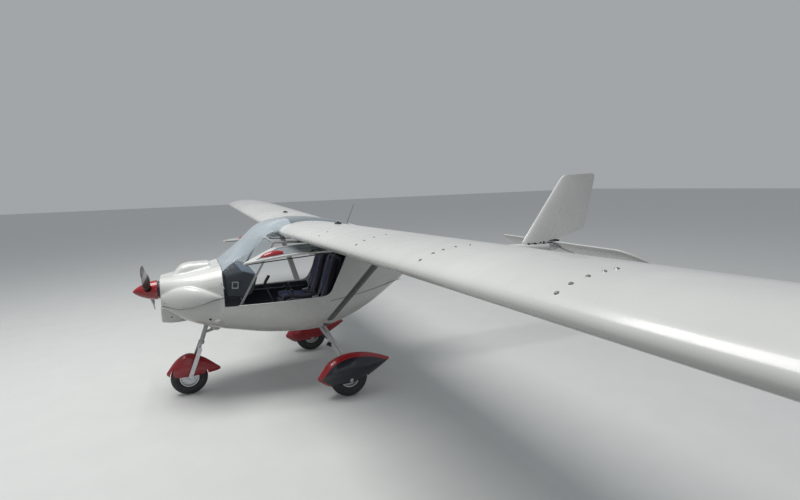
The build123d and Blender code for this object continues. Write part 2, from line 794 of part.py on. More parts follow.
turn_cos = cos(radians(TAIL_ANGLE))
turn_sin = sin(radians(TAIL_ANGLE))
lead_point = pivot + Vector(turn_cos, 0, turn_sin) * (TAIL_CHORD * TAIL_PIVOT_AT)
with BuildPart() as tail_half:
    chord_way = (-turn_cos, 0, -turn_sin)
    with BuildSketch(Plane(lead_point + Vector(0, TAIL_ROOT, 0), x_dir=chord_way, z_dir=(0, -1, 0))):
        with BuildLine():
            Spline(*section_line(TAIL_CHORD, TAIL_THICKNESS, 0, True, 0, 1))
            Spline(*section_line(TAIL_CHORD, TAIL_THICKNESS, 0, False, 0, 1))
            Line(
                section_line(TAIL_CHORD, TAIL_THICKNESS, 0, True, 1, 1, 0, 2)[0],
                section_line(TAIL_CHORD, TAIL_THICKNESS, 0, False, 1, 1, 0, 2)[0],
            )
        make_face()
    extrude(amount=TAIL_ROOT - TAIL_HALF)
    flat = Plane(lead_point, x_dir=(-turn_cos, 0, -turn_sin), z_dir=(turn_sin, 0, -turn_cos))
    with BuildSketch(flat):
        with BuildLine():
            Polyline((-20, TAIL_SQUARE), (-20, 0), (TAIL_CHORD + 20, 0), (TAIL_CHORD + 20, TAIL_HALF - 20))
            ThreePointArc(
                (-20, TAIL_SQUARE), (140, TAIL_HALF - 50), (TAIL_CHORD + 20, TAIL_HALF - 20)
            )
        make_face()
    extrude(amount=200, both=True, mode=Mode.INTERSECT)
with BuildPart() as tailplane:
    add(tail_half.part)
    add(mirror(tail_half.part, about=Plane.XZ))
    add(rod(pivot - Vector(0, TAIL_ROOT + 40, 0), pivot + Vector(0, TAIL_ROOT + 40, 0), PIVOT_R))
save(tailplane.part, "tailplane")

# Nose leg, steering fork, spat and wheel
with BuildPart() as nose_leg:
    add(rod(leg_collar, leg_top + leg_way * 40, LEG_R))
    add(rod(leg_collar, leg_collar + leg_way * 30, LEG_R + 8))
    add(rod(leg_collar, leg_collar + leg_way * 190, STEM_R + FIT), mode=Mode.SUBTRACT)
    for y in (-90, 90):
        add(rod(leg_top + leg_way * 20, point(788, y, 850), 11))
    for brace in leg_braces:
        add(rod(*brace, LEG_BRACE_R))
    add(rod(leg_collar - leg_way, leg_collar + leg_way * 190, STEM_R + FIT), mode=Mode.SUBTRACT)
    add(pod_solid, mode=Mode.SUBTRACT)
    add(firewall.part, mode=Mode.SUBTRACT)
save(nose_leg.part, "nose_leg")

crown = leg_collar - leg_way * 40
axle_front = point(NOSE_AXLE[0], 0, NOSE_AXLE[1])
with BuildPart() as fork:
    add(rod(crown, leg_collar + leg_way * 180, STEM_R))
    add(rod(crown - Vector(0, ARM_Y, 0), crown + Vector(0, ARM_Y, 0), 14))
    for y in (-ARM_Y, ARM_Y):
        a = crown + Vector(0, y, 0)
        b = axle_front + Vector(0, y, 0)
        with BuildSketch(Plane(a - Vector(0, ARM_THICK / 2, 0), x_dir=b - a, z_dir=(0, 1, 0))):
            with Locations(((b - a).length / 2, 0)):
                SlotCenterToCenter((b - a).length, 40)
        extrude(amount=ARM_THICK)
    axle_end = Vector(0, ARM_Y + ARM_THICK / 2 + TOW_PIN, 0)
    add(rod(axle_front - axle_end, axle_front + axle_end, AXLE_R))
save(fork.part, "nose_fork")

with BuildPart() as nose_spat:
    add(pod(NOSE_SPAT))
    add(pod(NOSE_SPAT, 0, SPAT_WALL), mode=Mode.SUBTRACT)
    split(bisect_by=Plane.XY.offset(NOSE_SPAT_LOW), keep=Keep.TOP)
    for y in (-1, 1):
        add(rod(point(482, y * 70, 290), point(482, y * (ARM_Y - ARM_THICK / 2), 290), 10))
    add(pod(NOSE_SPAT, 0, SPAT_WALL), mode=Mode.SUBTRACT)
    well = NOSE_TYRE_W / 2 + TYRE_ROOM
    add(
        rod(axle_front - Vector(0, well, 0), axle_front + Vector(0, well, 0), NOSE_TYRE_R + TYRE_ROOM),
        mode=Mode.SUBTRACT,
    )
save(nose_spat.part, "nose_spat")


def wheel(axle, y, tyre_r, width, name):
    """Tyre and rim of one wheel, turned about its axle."""
    centre = point(axle[0], y, axle[1])
    half = width / 2
    shoulder_r = tyre_r - 12
    with BuildPart() as tyre:
        with BuildSketch(Plane(centre)):
            with BuildLine():
                wall_r = (RIM_R + tyre_r) / 2
                Line((RIM_R, -half * 0.72), (RIM_R, half * 0.72))
                ThreePointArc((RIM_R, half * 0.72), (wall_r, half), (shoulder_r, half * 0.62))
                ThreePointArc((shoulder_r, half * 0.62), (tyre_r, 0), (shoulder_r, -half * 0.62))
                ThreePointArc((shoulder_r, -half * 0.62), (wall_r, -half), (RIM_R, -half * 0.72))
            make_face()
        revolve(axis=Axis(centre, (0, 1, 0)))
    save(tyre.part, f"{name}_tyre")
    with BuildPart() as rim:
        with BuildSketch(Plane(centre)):
            with BuildLine():
                Polyline(
                    (HUB_BORE_R, -HUB_HALF), (HUB_BORE_R, HUB_HALF), (26, HUB_HALF), (30, 10),
                    (RIM_R - 14, 10), (RIM_R - 10, half * 0.72), (RIM_R, half * 0.72),
                    (RIM_R, -half * 0.72), (RIM_R - 10, -half * 0.72), (RIM_R - 14, -10),
                    (30, -10), (26, -HUB_HALF), close=True,
                )
            make_face()
        revolve(axis=Axis(centre, (0, 1, 0)))
    save(rim.part, f"{name}_rim")


wheel(NOSE_AXLE, 0, NOSE_TYRE_R, NOSE_TYRE_W, "nose")
wheel(MAIN_AXLE, MAIN_Y, MAIN_TYRE_R, MAIN_TYRE_W, "main_left")
wheel(MAIN_AXLE, -MAIN_Y, MAIN_TYRE_R, MAIN_TYRE_W, "main_right")

# Main legs: twin tubes to a plate that carries the axle inside the spat
axle_main = point(MAIN_AXLE[0], PLATE_Y, MAIN_AXLE[1])
with BuildPart() as main_leg:
    for shift in (-20, 20):
        add(rod(point(1735 + shift, 330, 660), point(1872 + shift, PLATE_Y, 352), 15))
    with BuildSketch(Plane((axle_main.X, PLATE_Y, axle_main.Z), x_dir=(0, 0, 1), z_dir=(0, 1, 0))):
        with Locations((90, 0)):
            SlotCenterToCenter(180, 56)
    extrude(amount=8)
    add(rod(axle_main, axle_main + Vector(0, 2 * (MAIN_Y - PLATE_Y) + 14, 0), AXLE_R))
    add(pod_solid, mode=Mode.SUBTRACT)
save_twins(main_leg.part, "main_legs")

with BuildPart() as main_spat:
    add(pod(MAIN_SPAT, MAIN_Y))
    add(pod(MAIN_SPAT, MAIN_Y, SPAT_WALL), mode=Mode.SUBTRACT)
    split(bisect_by=Plane.XY.offset(MAIN_SPAT_LOW), keep=Keep.TOP)
    well = MAIN_TYRE_W / 2 + TYRE_ROOM
    wheel_centre = point(MAIN_AXLE[0], MAIN_Y, MAIN_AXLE[1])
    add(
        rod(wheel_centre - Vector(0, well, 0), wheel_centre + Vector(0, well, 0), MAIN_TYRE_R + TYRE_ROOM),
        mode=Mode.SUBTRACT,
    )
    add(main_leg.part, mode=Mode.SUBTRACT)
save_twins(main_spat.part, "main_spats")

# Doors: frame and pane cut from one curved shell, then swung up about the hinge line
hinge = Axis((0, DOOR_HINGE[0], DOOR_HINGE[1]), (1, 0, 0))
door_outline = (
    (POST_FOOT[0] + 12, SILL_Z + 7), (POST_HEAD[0] - 16, DOOR_HEAD_Z), (2080, DOOR_HEAD_Z),
    (REAR_FOOT[0] - 6, SILL_Z + 50), (REAR_FOOT[0] - 60, SILL_Z + 7),
)
with BuildPart() as door_face:
    with BuildSketch(Plane.XZ):
        with BuildLine():
            Polyline(*[(aft(s), z) for s, z in door_outline], close=True)
        make_face()
        offset(amount=-DOOR_FRAME, mode=Mode.REPLACE)
    extrude(amount=-700)
door_shell = hull(DOOR_SECTIONS) - hull(DOOR_SECTIONS, DOOR_THICK)
with BuildPart() as door:
    add(door_shell)
    add(slab(door_outline, 300, 700), mode=Mode.INTERSECT)
    add(door_face.part, mode=Mode.SUBTRACT)
    for station in DOOR_HINGE_STATIONS:
        knuckle = point(station, *DOOR_HINGE)
        half = Vector(KNUCKLE_HALF + GAP, 0, 0)
        ear = Vector(12, 0, 0)
        for way in (-1, 1):
            add(rod(knuckle + half * way, knuckle + (half + ear) * way, KNUCKLE_R))
        add(rod(knuckle - half, knuckle + half, KNUCKLE_R + GAP), mode=Mode.SUBTRACT)
        add(door_arm(station, GAP), mode=Mode.SUBTRACT)
        add(rod(knuckle - half - ear, knuckle + half + ear, DOOR_PIN_R))
with BuildPart() as pane:
    add(hull(DOOR_SECTIONS, PANE_INSET))
    add(hull(DOOR_SECTIONS, PANE_INSET + DOOR_GLASS), mode=Mode.SUBTRACT)
    add(slab(door_outline, 300, 700), mode=Mode.INTERSECT)
    add(door_face.part, mode=Mode.INTERSECT)
with BuildPart() as vent:
    add(pod(VENT, DOOR_SECTIONS[1][1] - VENT_SINK))
    add(hull(DOOR_SECTIONS, PANE_INSET), mode=Mode.SUBTRACT)
save_pair(door.part.rotate(hinge, DOOR_OPEN), "door")
save_pair(pane.part.rotate(hinge, DOOR_OPEN), "door_glass")
save_pair(vent.part.rotate(hinge, DOOR_OPEN), "door_vent")

with BuildPart() as antenna:
    add(rod(point(*ANTENNA_FOOT), point(*ANTENNA_TIP), ANTENNA_R))
    add(pod_solid, mode=Mode.SUBTRACT)
    add(hump.part, mode=Mode.SUBTRACT)
save(antenna.part, "whip_antenna")
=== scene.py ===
# %% [markdown]
# # A two-seat ultralight aircraft, dressed in Blender
# The solid model gives the frame: every piece made here lies on its solid and rides on the same
# moving body. This lesson goes from the finishes to the mesh helpers, then piece by piece from
# the cowl to the small fittings, and ends with the floor, the light and the camera.

import json
from math import cos, pi, radians, sin, sqrt

import bmesh
import bpy
import numpy as np
from mathutils import Matrix, Vector
from mathutils.bvhtree import BVHTree

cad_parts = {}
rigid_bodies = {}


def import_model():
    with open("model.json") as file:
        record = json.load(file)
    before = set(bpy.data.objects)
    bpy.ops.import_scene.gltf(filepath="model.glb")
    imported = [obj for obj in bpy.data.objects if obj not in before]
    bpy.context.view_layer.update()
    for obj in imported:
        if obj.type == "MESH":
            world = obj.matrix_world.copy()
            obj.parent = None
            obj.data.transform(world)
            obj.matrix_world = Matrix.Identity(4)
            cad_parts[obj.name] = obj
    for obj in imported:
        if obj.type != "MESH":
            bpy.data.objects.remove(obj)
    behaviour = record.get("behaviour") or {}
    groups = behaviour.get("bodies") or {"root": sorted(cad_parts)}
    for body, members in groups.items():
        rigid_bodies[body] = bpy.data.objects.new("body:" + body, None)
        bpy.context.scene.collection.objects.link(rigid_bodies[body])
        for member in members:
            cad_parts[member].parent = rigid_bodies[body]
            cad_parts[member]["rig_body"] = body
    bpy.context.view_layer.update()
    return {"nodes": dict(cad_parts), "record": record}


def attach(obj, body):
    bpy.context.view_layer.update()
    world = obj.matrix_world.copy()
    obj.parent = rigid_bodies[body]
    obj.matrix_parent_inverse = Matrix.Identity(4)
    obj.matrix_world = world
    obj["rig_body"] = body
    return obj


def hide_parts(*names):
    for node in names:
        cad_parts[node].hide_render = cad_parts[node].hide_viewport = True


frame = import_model()
NOSE = 2.905  # where the spinner's tip stands, in metres ahead of the origin
print("frame loaded:", len(frame["nodes"]), "solids")

# %% [markdown]
# ## Shader sums in plain Python
# A finish is easier to read as a formula than as a web of nodes. A Tap is one value in a shader
# tree, and the usual operators on it add Math nodes. Finish.add makes every other kind of node.


# %% Taps and finishes
class Tap:
    """One output in a finish, with operators that add Math nodes."""

    def __init__(self, finish, node, output=0):
        self.finish = finish
        self.node = node
        self.socket = node.outputs[output]

    def out(self, name):
        return Tap(self.finish, self.node, name)

    def maths(self, operation, *others):
        return self.finish.add(
            "ShaderNodeMath", {"operation": operation}, dict(enumerate((self, *others)))
        )

    def __add__(self, other):
        return self.maths("ADD", other)

    def __mul__(self, other):
        return self.maths("MULTIPLY", other)

    def __sub__(self, other):
        return self.maths("SUBTRACT", other)

    def __rsub__(self, other):
        return (self * -1.0).maths("ADD", other)

    def __gt__(self, other):
        return self.maths("GREATER_THAN", other)

    def __lt__(self, other):
        return self.maths("LESS_THAN", other)

    __radd__ = __add__
    __rmul__ = __mul__


class Finish:
    """A material under construction, around one Principled shader."""

    def __init__(self, name, **constants):
        self.material = bpy.data.materials.new(name)
        self.material.use_nodes = True
        self.tree = self.material.node_tree
        self.shader = self.tree.nodes["Principled BSDF"]
        for socket, value in constants.items():
            self.shader.inputs[socket.replace("_", " ")].default_value = value
        self.place = self.add("ShaderNodeTexCoord").out("Object")
        self.axes = self.add("ShaderNodeSeparateXYZ", {}, {"Vector": self.place})

    def add(self, kind, settings=None, sockets=None):
        node = self.tree.nodes.new(kind)
        for name, value in (settings or {}).items():
            setattr(node, name, value)
        for key, value in (sockets or {}).items():
            self.feed(node, key, value)
        return Tap(self, node)

    def feed(self, node, key, value):
        if isinstance(key, int):
            socket = node.inputs[key]
        else:
            socket = next(s for s in node.inputs if key in (s.identifier, s.name))
        if isinstance(value, Tap):
            self.tree.links.new(value.socket, socket)
        else:
            socket.default_value = value

    def set(self, **values):
        for key, value in values.items():
            self.feed(self.shader, key.replace("_", " "), value)

    def noise(self, scale, detail=3.0, where=None):
        return self.add(
            "ShaderNodeTexNoise", {},
            {"Vector": where or self.place, "Scale": scale, "Detail": detail, "Roughness": 0.55},
        )

    def spread(self, value, low, high, to_low=0.0, to_high=1.0):
        """The value's band from low to high, stretched to a new band and clamped."""
        return self.add(
            "ShaderNodeMapRange", {"interpolation_type": "SMOOTHSTEP"},
            {"Value": value, "From Min": low, "From Max": high, "To Min": to_low, "To Max": to_high},
        )

    def drift(self, scale, low, high, detail=3.0):
        """A value that wanders between two ends over the surface."""
        return self.spread(self.noise(scale, detail), 0.3, 0.7, low, high)

    def stretched(self, factors):
        """The place on the surface, stretched along each axis, for streaky noise."""
        return self.add("ShaderNodeVectorMath", {"operation": "MULTIPLY"}, {0: self.place, 1: factors})

    def mix(self, share, first, second):
        """A colour between two, by share."""
        def colour(c):
            return c if isinstance(c, Tap) else (*c, 1)
        return self.add(
            "ShaderNodeMix", {"data_type": "RGBA"},
            {"Factor_Float": share, "A_Color": colour(first), "B_Color": colour(second)},
        ).out("Result")

    def bump(self, *layers):
        """Bump nodes in a row, one for each (height, distance in metres)."""
        normal = None
        for height, distance in layers:
            sockets = {"Height": height, "Distance": distance, "Strength": 1.0}
            if normal:
                sockets["Normal"] = normal
            normal = self.add("ShaderNodeBump", {}, sockets)
        self.feed(self.shader, "Normal", normal)


# %% [markdown]
# ## Painted and bare finishes
# The airframe is laid up in moulds, so its gel coat is glossy but never dead flat: long soft waves
# from the laminate, a fine orange peel, and dust that settles on it in a field. One function
# makes every painted finish from a colour, with more or less dirt.

# %% Paint
FIELD_DUST = (0.36, 0.31, 0.24)
RED_PIGMENT = (0.36, 0.006, 0.014)
SMOOTH = {"waves": 0.0004, "peel": 0.000003}


def paint(name, colour, rough=0.3, coat=0.5, dirt=0.25, waves=0.0012, peel=0.00006):
    f = Finish(name, Coat_Roughness=0.12, Specular_IOR_Level=0.5)
    fine = f.noise(9.0, 3.0)
    grime = f.spread(f.noise(7.0, 8.0), 0.52, 0.78) * dirt
    shade = [c * 0.9 for c in colour]
    dusty = [0.42 * c + 0.58 * d for c, d in zip(colour, FIELD_DUST)]
    f.set(
        Base_Color=f.mix(grime, f.mix(f.drift(1.1, 0.0, 1.0, 4.0), colour, shade), dusty),
        Roughness=f.spread(fine, 0.35, 0.7, rough - 0.02, rough + 0.03) + grime * 0.3,
        Coat_Weight=f.spread(fine, 0.3, 0.7, coat, coat * 0.9),
    )
    f.bump((f.noise(3.2, 1.0), waves), (f.noise(420.0, 2.0), peel))
    return f.material


def metal(name, colour, rough=0.38, grain=(1, 40, 40), dirt=0.3):
    f = Finish(name, Metallic=1.0)
    brushed = f.noise(9.0, 6.0, f.stretched(grain))
    spots = f.spread(f.noise(25.0, 6.0), 0.55, 0.75) * dirt
    f.set(
        Base_Color=f.mix(spots, f.mix(brushed, colour, [c * 0.72 for c in colour]), (0.16, 0.14, 0.12)),
        Roughness=f.spread(brushed, 0.3, 0.7, rough - 0.08, rough + 0.12) + spots * 0.25,
    )
    f.bump((brushed, 0.00008), (f.noise(160.0, 3.0), 0.00005))
    return f.material


def two_shade_tube(f, mask, dark, pale, stains, stain, worn_coat):
    """Tube paint that is pale where the mask is 1 and dark elsewhere, with stains. A mask that follows the
    faces' direction makes the pale top and dark underside painted light and shade.
    """
    f.set(
        Base_Color=f.mix(stains, f.mix(mask, dark, pale), stain),
        Roughness=f.drift(26.0, 0.32, 0.48), Coat_Weight=f.drift(26.0, 0.3, worn_coat),
    )
    f.bump((f.noise(90.0, 2.0), 0.00001))
    return f.material


WHITE = paint("white_gel_coat", (0.76, 0.765, 0.74), rough=0.28, coat=0.5, dirt=0.06, **SMOOTH)
RED = paint("red_gel_coat", RED_PIGMENT, rough=0.24, coat=0.5, dirt=0.03, **SMOOTH)
GREY_TUBE = paint("grey_tube_paint", (0.56, 0.57, 0.57), rough=0.35, coat=0.3, dirt=0.4)
PLATE = metal("brushed_plate", (0.63, 0.64, 0.66))
STEEL = metal("zinc_steel", (0.52, 0.52, 0.5), rough=0.3, grain=(20, 20, 20))
CAST = metal("dark_casting", (0.13, 0.13, 0.14), rough=0.55, grain=(8, 8, 8), dirt=0.5)
SCREW_STEEL = metal("screw_steel", (0.42, 0.42, 0.41), rough=0.35, grain=(30, 30, 30), dirt=0.6)
# The lift struts are pale on faces that look up and dark on faces that look down: a painted highlight on top
# and painted shade underneath.
f = Finish("strut_painted_light_shade", Coat_Roughness=0.2)
facing = f.add("ShaderNodeNewGeometry").out("Normal")
lit_top_mask = f.spread(f.add("ShaderNodeSeparateXYZ", {}, {"Vector": facing}).out("Z"), -0.2, 0.3)
STRUT_PAINTED_LIGHT_SHADE = two_shade_tube(
    f, lit_top_mask, (0.055, 0.055, 0.06), (0.50, 0.50, 0.49), f.spread(f.noise(11.0, 7.0), 0.5, 0.8) * 0.3,
    (0.12, 0.11, 0.10), 0.1,
)
f = Finish("frame_paint", Coat_Roughness=0.25)
ahead = f.spread(f.axes.out("X"), 1.35, 1.40)
above_sill = f.spread(f.axes.out("Z"), 0.955, 0.965)
FRAME_PAINT = two_shade_tube(
    f, ahead * above_sill, (0.020, 0.022, 0.032), (0.55, 0.56, 0.56),
    f.spread(f.noise(14.0, 6.0), 0.5, 0.8) * 0.25, (0.10, 0.10, 0.10), 0.15,
)
print("paints made")


# %% [markdown]
# Rubber, plastic and cloth scatter light instead of mirroring it. What tells them apart is the
# size of their grain: a tyre is dusty and scuffed, a trim panel has a fine pebble, and a woven
# seat cover shows its threads.


# %% Rubber, trim and cloth
def grained(name, colour, rough, grain, depth, dusty=0.3):
    f = Finish(name, Sheen_Roughness=0.4)
    pebble = f.add(
        "ShaderNodeTexVoronoi", {"feature": "SMOOTH_F1"}, {"Vector": f.place, "Scale": grain}
    )
    dust = f.spread(f.noise(9.0, 7.0), 0.45, 0.8) * dusty
    pale = [0.75 * c + 0.06 for c in colour]
    f.set(
        Base_Color=f.mix(dust, f.mix(f.noise(60.0), colour, [c * 1.35 for c in colour]), pale),
        Roughness=f.drift(30.0, rough - 0.08, rough + 0.06),
    )
    f.bump((pebble, depth))
    return f.material


def cloth(name, colour, threads=900.0, depth=0.0004):
    f = Finish(name, Sheen_Weight=0.12, Sheen_Roughness=0.45, Specular_IOR_Level=0.2)
    warp = (f.axes.out("Y") * threads).maths("SINE")
    weft = ((f.axes.out("X") + f.axes.out("Z")) * threads).maths("SINE")
    weave = warp * weft * 0.5 + 0.5
    worn = f.spread(f.noise(6.0, 5.0), 0.4, 0.75)
    light = [min(1.0, c * 1.6 + 0.004) for c in colour]
    f.set(
        Base_Color=f.mix(worn * 0.5, f.mix(weave, colour, light), light),
        Roughness=f.spread(weave, 0.0, 1.0, 0.72, 0.9),
    )
    f.bump((weave, depth), (f.noise(45.0, 4.0), 0.0006))
    return f.material


TYRE = grained("tyre_rubber", (0.022, 0.022, 0.023), 0.72, 900.0, 0.0002, dusty=0.7)
SEAL = grained("door_seal", (0.02, 0.02, 0.021), 0.6, 1400.0, 0.0001)
TRIM = grained("cabin_trim", (0.018, 0.020, 0.030), 0.66, 520.0, 0.0002, dusty=0.12)
HOOD = grained("hood_vinyl", (0.022, 0.025, 0.036), 0.6, 700.0, 0.0002, dusty=0.12)
VISOR = grained("visor_vinyl", (0.13, 0.155, 0.20), 0.55, 700.0, 0.0002, dusty=0.1)
WELT = grained("seat_welt", (0.10, 0.10, 0.12), 0.6, 900.0, 0.0001, dusty=0.1)
PANEL = grained("panel_face", (0.02, 0.021, 0.024), 0.5, 1100.0, 0.00015, dusty=0.15)
NAVY = cloth("navy_seat_cloth", (0.006, 0.009, 0.040))
BLACK_CLOTH = cloth("black_pad_cloth", (0.014, 0.013, 0.020), threads=1200.0)
BELT = cloth("belt_webbing", (0.05, 0.055, 0.07), threads=1600.0)
print("rubber, trim and cloth made")


# %% [markdown]
# ## Clear panes
# The windscreen is a moulded sheet a few millimetres thick. Light passes nearly straight
# through, so a transparent shader with a glossy one on top, stronger at grazing angles, is closer
# and far less noisy than true refraction. Fine wipe marks break the reflection.


# %% Pane
def pane(name, tint, haze, gloss=0.04):
    f = Finish(name, Base_Color=(0.60, 0.65, 0.69, 1), Specular_IOR_Level=0.2, IOR=1.49)
    clear = f.add("ShaderNodeBsdfTransparent", {}, {"Color": (*tint, 1)})
    graze = f.add("ShaderNodeFresnel", {}, {"IOR": 1.36})
    marks = f.spread(f.noise(2.2, 6.0, f.stretched((3.0, 14.0, 9.0))), 0.5, 0.85)
    f.set(Roughness=f.spread(marks, 0.0, 1.0, gloss, gloss + 0.2))
    share = (graze * 0.85 + marks * haze + haze * 0.5).maths("MINIMUM", 0.75)
    both_shaders = f.add("ShaderNodeMixShader", {}, {0: share, 1: clear, 2: Tap(f, f.shader)})
    f.tree.links.new(both_shaders.socket, f.tree.nodes["Material Output"].inputs["Surface"])
    return f.material


SCREEN = pane("windscreen_pane", (0.93, 0.95, 0.96), haze=0.02)
SMOKE = pane("smoked_door_pane", (0.60, 0.63, 0.64), haze=0.05)
print("panes made")

# %% [markdown]
# ## Mesh helpers
# Most of this aircraft is skins stretched over a few sections. `skin` joins rings of points,
# `along` gives the smooth curve between a table's rows, and `carve` cuts a shell with plain
# tools, which is how the door openings, the cowl's mouth and the panel gaps are made.


# %% Rings and skins
def at(station, y, z):
    """A place measured aft from the spinner's tip."""
    return Vector((NOSE - station, y, z))


def along(table, where):
    """Rows between a table's own, on smooth curves over its first column."""
    rows = np.array(table, float)
    xs, ys = rows[:, 0], rows[:, 1:]
    if len(xs) > 2:
        slopes = np.gradient(ys, xs, axis=0)
    else:
        slopes = np.repeat((ys[1:] - ys[:1]) / (xs[1] - xs[0]), 2, 0)
    i = np.clip(np.searchsorted(xs, where) - 1, 0, len(xs) - 2)
    h = (xs[i + 1] - xs[i])[:, None]
    t = ((where - xs[i]) / (xs[i + 1] - xs[i]))[:, None]
    a, b = 2 * t**3 - 3 * t**2 + 1, t**3 - 2 * t**2 + t
    return a * ys[i] + b * h * slopes[i] + (1 - a) * ys[i + 1] + (t**3 - t**2) * h * slopes[i + 1]


def mesh_of(points, faces):
    mesh = bpy.data.meshes.new("blank")
    mesh.from_pydata([tuple(p) for p in points], [], faces)
    return mesh


def outward(mesh):
    bm = bmesh.new()
    bm.from_mesh(mesh)
    bmesh.ops.recalc_face_normals(bm, faces=bm.faces)
    bm.to_mesh(mesh)
    bm.free()


def skin(rings):
    """Closed mesh over rings of equal count."""
    m, n = len(rings), len(rings[0])
    faces = [
        (i * n + j, i * n + (j + 1) % n, (i + 1) * n + (j + 1) % n, (i + 1) * n + j)
        for i in range(m - 1) for j in range(n)
    ]
    faces += [tuple(range(n))[::-1], tuple(range((m - 1) * n, m * n))]
    mesh = mesh_of(np.concatenate(rings), faces)
    outward(mesh)
    return mesh


def circle(count):
    return np.linspace(0, 2 * pi, count, endpoint=False)


def box_ring(station, half_width, low, high, radius, corner=9, side=8):
    """Ring of a rounded rectangle across the hull."""
    points = []
    for k, (sy, sz) in enumerate(((1, 1), (-1, 1), (-1, -1), (1, -1))):
        cy = sy * (half_width - radius)
        cz = (low + high) / 2 + sz * ((high - low) / 2 - radius)
        for a in np.linspace(k * pi / 2, (k + 1) * pi / 2, corner):
            points.append((NOSE - station, cy + radius * cos(a), cz + radius * sin(a)))
    ring = []
    for i, p in enumerate(points):
        ring.append(p)
        if i % corner == corner - 1:
            q = points[(i + 1) % len(points)]
            ring += [tuple(np.array(p) + (np.array(q) - p) * t / side) for t in range(1, side)]
    return np.array(ring)


def hull(sections, inset=0.0, count=40, start=None, end=None):
    """Hull over (station, half width, low, high, corner radius) rows, in metres."""
    where = np.linspace(start or sections[0][0], end or sections[-1][0], count)
    return skin([
        box_ring(s, w - inset, low + inset, high - inset, max(r - inset, 0.01))
        for s, (w, low, high, r) in zip(where, along(sections, where))
    ])


def side_of(rows, station, z, inset=0.0):
    """Half width of a hull at a station and height."""
    w, _, high, r = along(rows, np.array([station]))[0]
    up_from = high - r
    return (w if z < up_from else w - r + sqrt(max(r * r - (z - up_from) ** 2, 0))) - inset


def pod(sections, y=0.0, inset=0.0, count=36, around=40):
    """Pod over (station, height, side, half width, half height) rows."""
    where = np.linspace(sections[0][0], sections[-1][0], count)
    turn = circle(around)
    rings = []
    for s, (z, out, w, h) in zip(where, along(sections, where)):
        w, h = max(w - inset, 0.002), max(h - inset, 0.002)
        rings.append(np.stack([
            np.full(around, NOSE - s), y + out + w * np.cos(turn), z + h * np.sin(turn)
        ], 1))
    return skin(rings)


def prism(outline, y0=-0.8, y1=0.8):
    """Block across the hull with a side outline of (station, height) points."""
    return skin([np.array([(NOSE - s, y, z) for s, z in outline]) for y in (y0, y1)])


def tube(a, b, radius, radius_end=None, around=24):
    """Round bar from a to b."""
    a, b = Vector(a), Vector(b)
    way = (b - a).normalized()
    side = Vector((1, 0, 0)) if abs(way.x) < 0.8 else Vector((0, 0, 1))
    u = (side - way * side.dot(way)).normalized()
    v = way.cross(u)
    ends = ((a, radius), (b, radius if radius_end is None else radius_end))
    return skin([
        np.array([p + (u * cos(t) + v * sin(t)) * r for t in (2 * pi * i / around for i in range(around))])
        for p, r in ends
    ])


def bar(s0, y0, z0, s1, y1, z1, radius, radius_end=None, around=24):
    """Round bar between two places by station, side and height."""
    return tube(at(s0, y0, z0), at(s1, y1, z1), radius, radius_end, around)


# %% [markdown]
# Booleans, remeshes and simulations run as modifiers on a passing object. `stand` puts that
# object in the scene, and `settled` takes its finished mesh and clears it away.


# %% Cuts, melts and pieces
def stand(name, data):
    made = bpy.data.objects.new(name, data)
    bpy.context.collection.objects.link(made)
    return made


def settled(host, *helpers):
    deps = bpy.context.evaluated_depsgraph_get()
    result = bpy.data.meshes.new_from_object(host.evaluated_get(deps))
    for done in (host, *helpers):
        bpy.data.objects.remove(done)
    return result


def carve(blank, *tools):
    """Blank mesh after a row of (operation, mesh) Booleans."""
    host = stand("host", blank)
    helpers = []
    for operation, mesh in tools:
        helpers.append(stand("tool", mesh))
        helpers[-1].hide_render = True
        step = host.modifiers.new("cut", "BOOLEAN")
        step.operation = operation
        step.object = helpers[-1]
        step.solver = "MANIFOLD"
    return settled(host, *helpers)


def less(*meshes):
    return [("DIFFERENCE", mesh) for mesh in meshes]


def within(*meshes):
    return [("INTERSECT", mesh) for mesh in meshes]


def melt(mesh, voxel=0.006, smooth=6):
    """One skin over overlapping shapes, its creases softened."""
    host = stand("host", mesh)
    remesh = host.modifiers.new("remesh", "REMESH")
    remesh.mode = "VOXEL"
    remesh.voxel_size = voxel
    if smooth:
        soften = host.modifiers.new("soften", "SMOOTH")
        soften.iterations = smooth
        soften.factor = 0.5
    return settled(host)


def join(*meshes):
    """Several meshes as one."""
    bm = bmesh.new()
    for mesh in meshes:
        bm.from_mesh(mesh)
    made = bpy.data.meshes.new("joined")
    bm.to_mesh(made)
    bm.free()
    return made


def mirrored(mesh):
    """Right-hand copy of a left-hand mesh."""
    copy = mesh.copy()
    copy.transform(Matrix.Scale(-1, 4, (0, 1, 0)))
    copy.flip_normals()
    return copy


def both(*meshes):
    """The meshes as one, with their right-hand copies."""
    left = join(*meshes)
    return join(left, mirrored(left))


SIDES = (("left", lambda mesh: mesh.copy()), ("right", mirrored))


def piece(name, mesh, finish, body="airframe", stands_for=(), crease=32):
    """Name a mesh, paint it, smooth it up to a crease angle and let it ride on a body."""
    mesh.name = name
    mesh.materials.clear()
    mesh.materials.append(finish)
    mesh.shade_smooth()
    mesh.set_sharp_from_angle(angle=radians(crease))
    made = stand(name, mesh)
    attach(made, body)
    if stands_for:
        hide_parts(*stands_for)
    return made


print("helpers ready")

# %% [markdown]
# ## Finishes on the plain solids
# A solid that nothing replaces still needs a real surface, so each gets the finish of its
# material. The wheels, plates and small tubes keep their solid's own mesh.

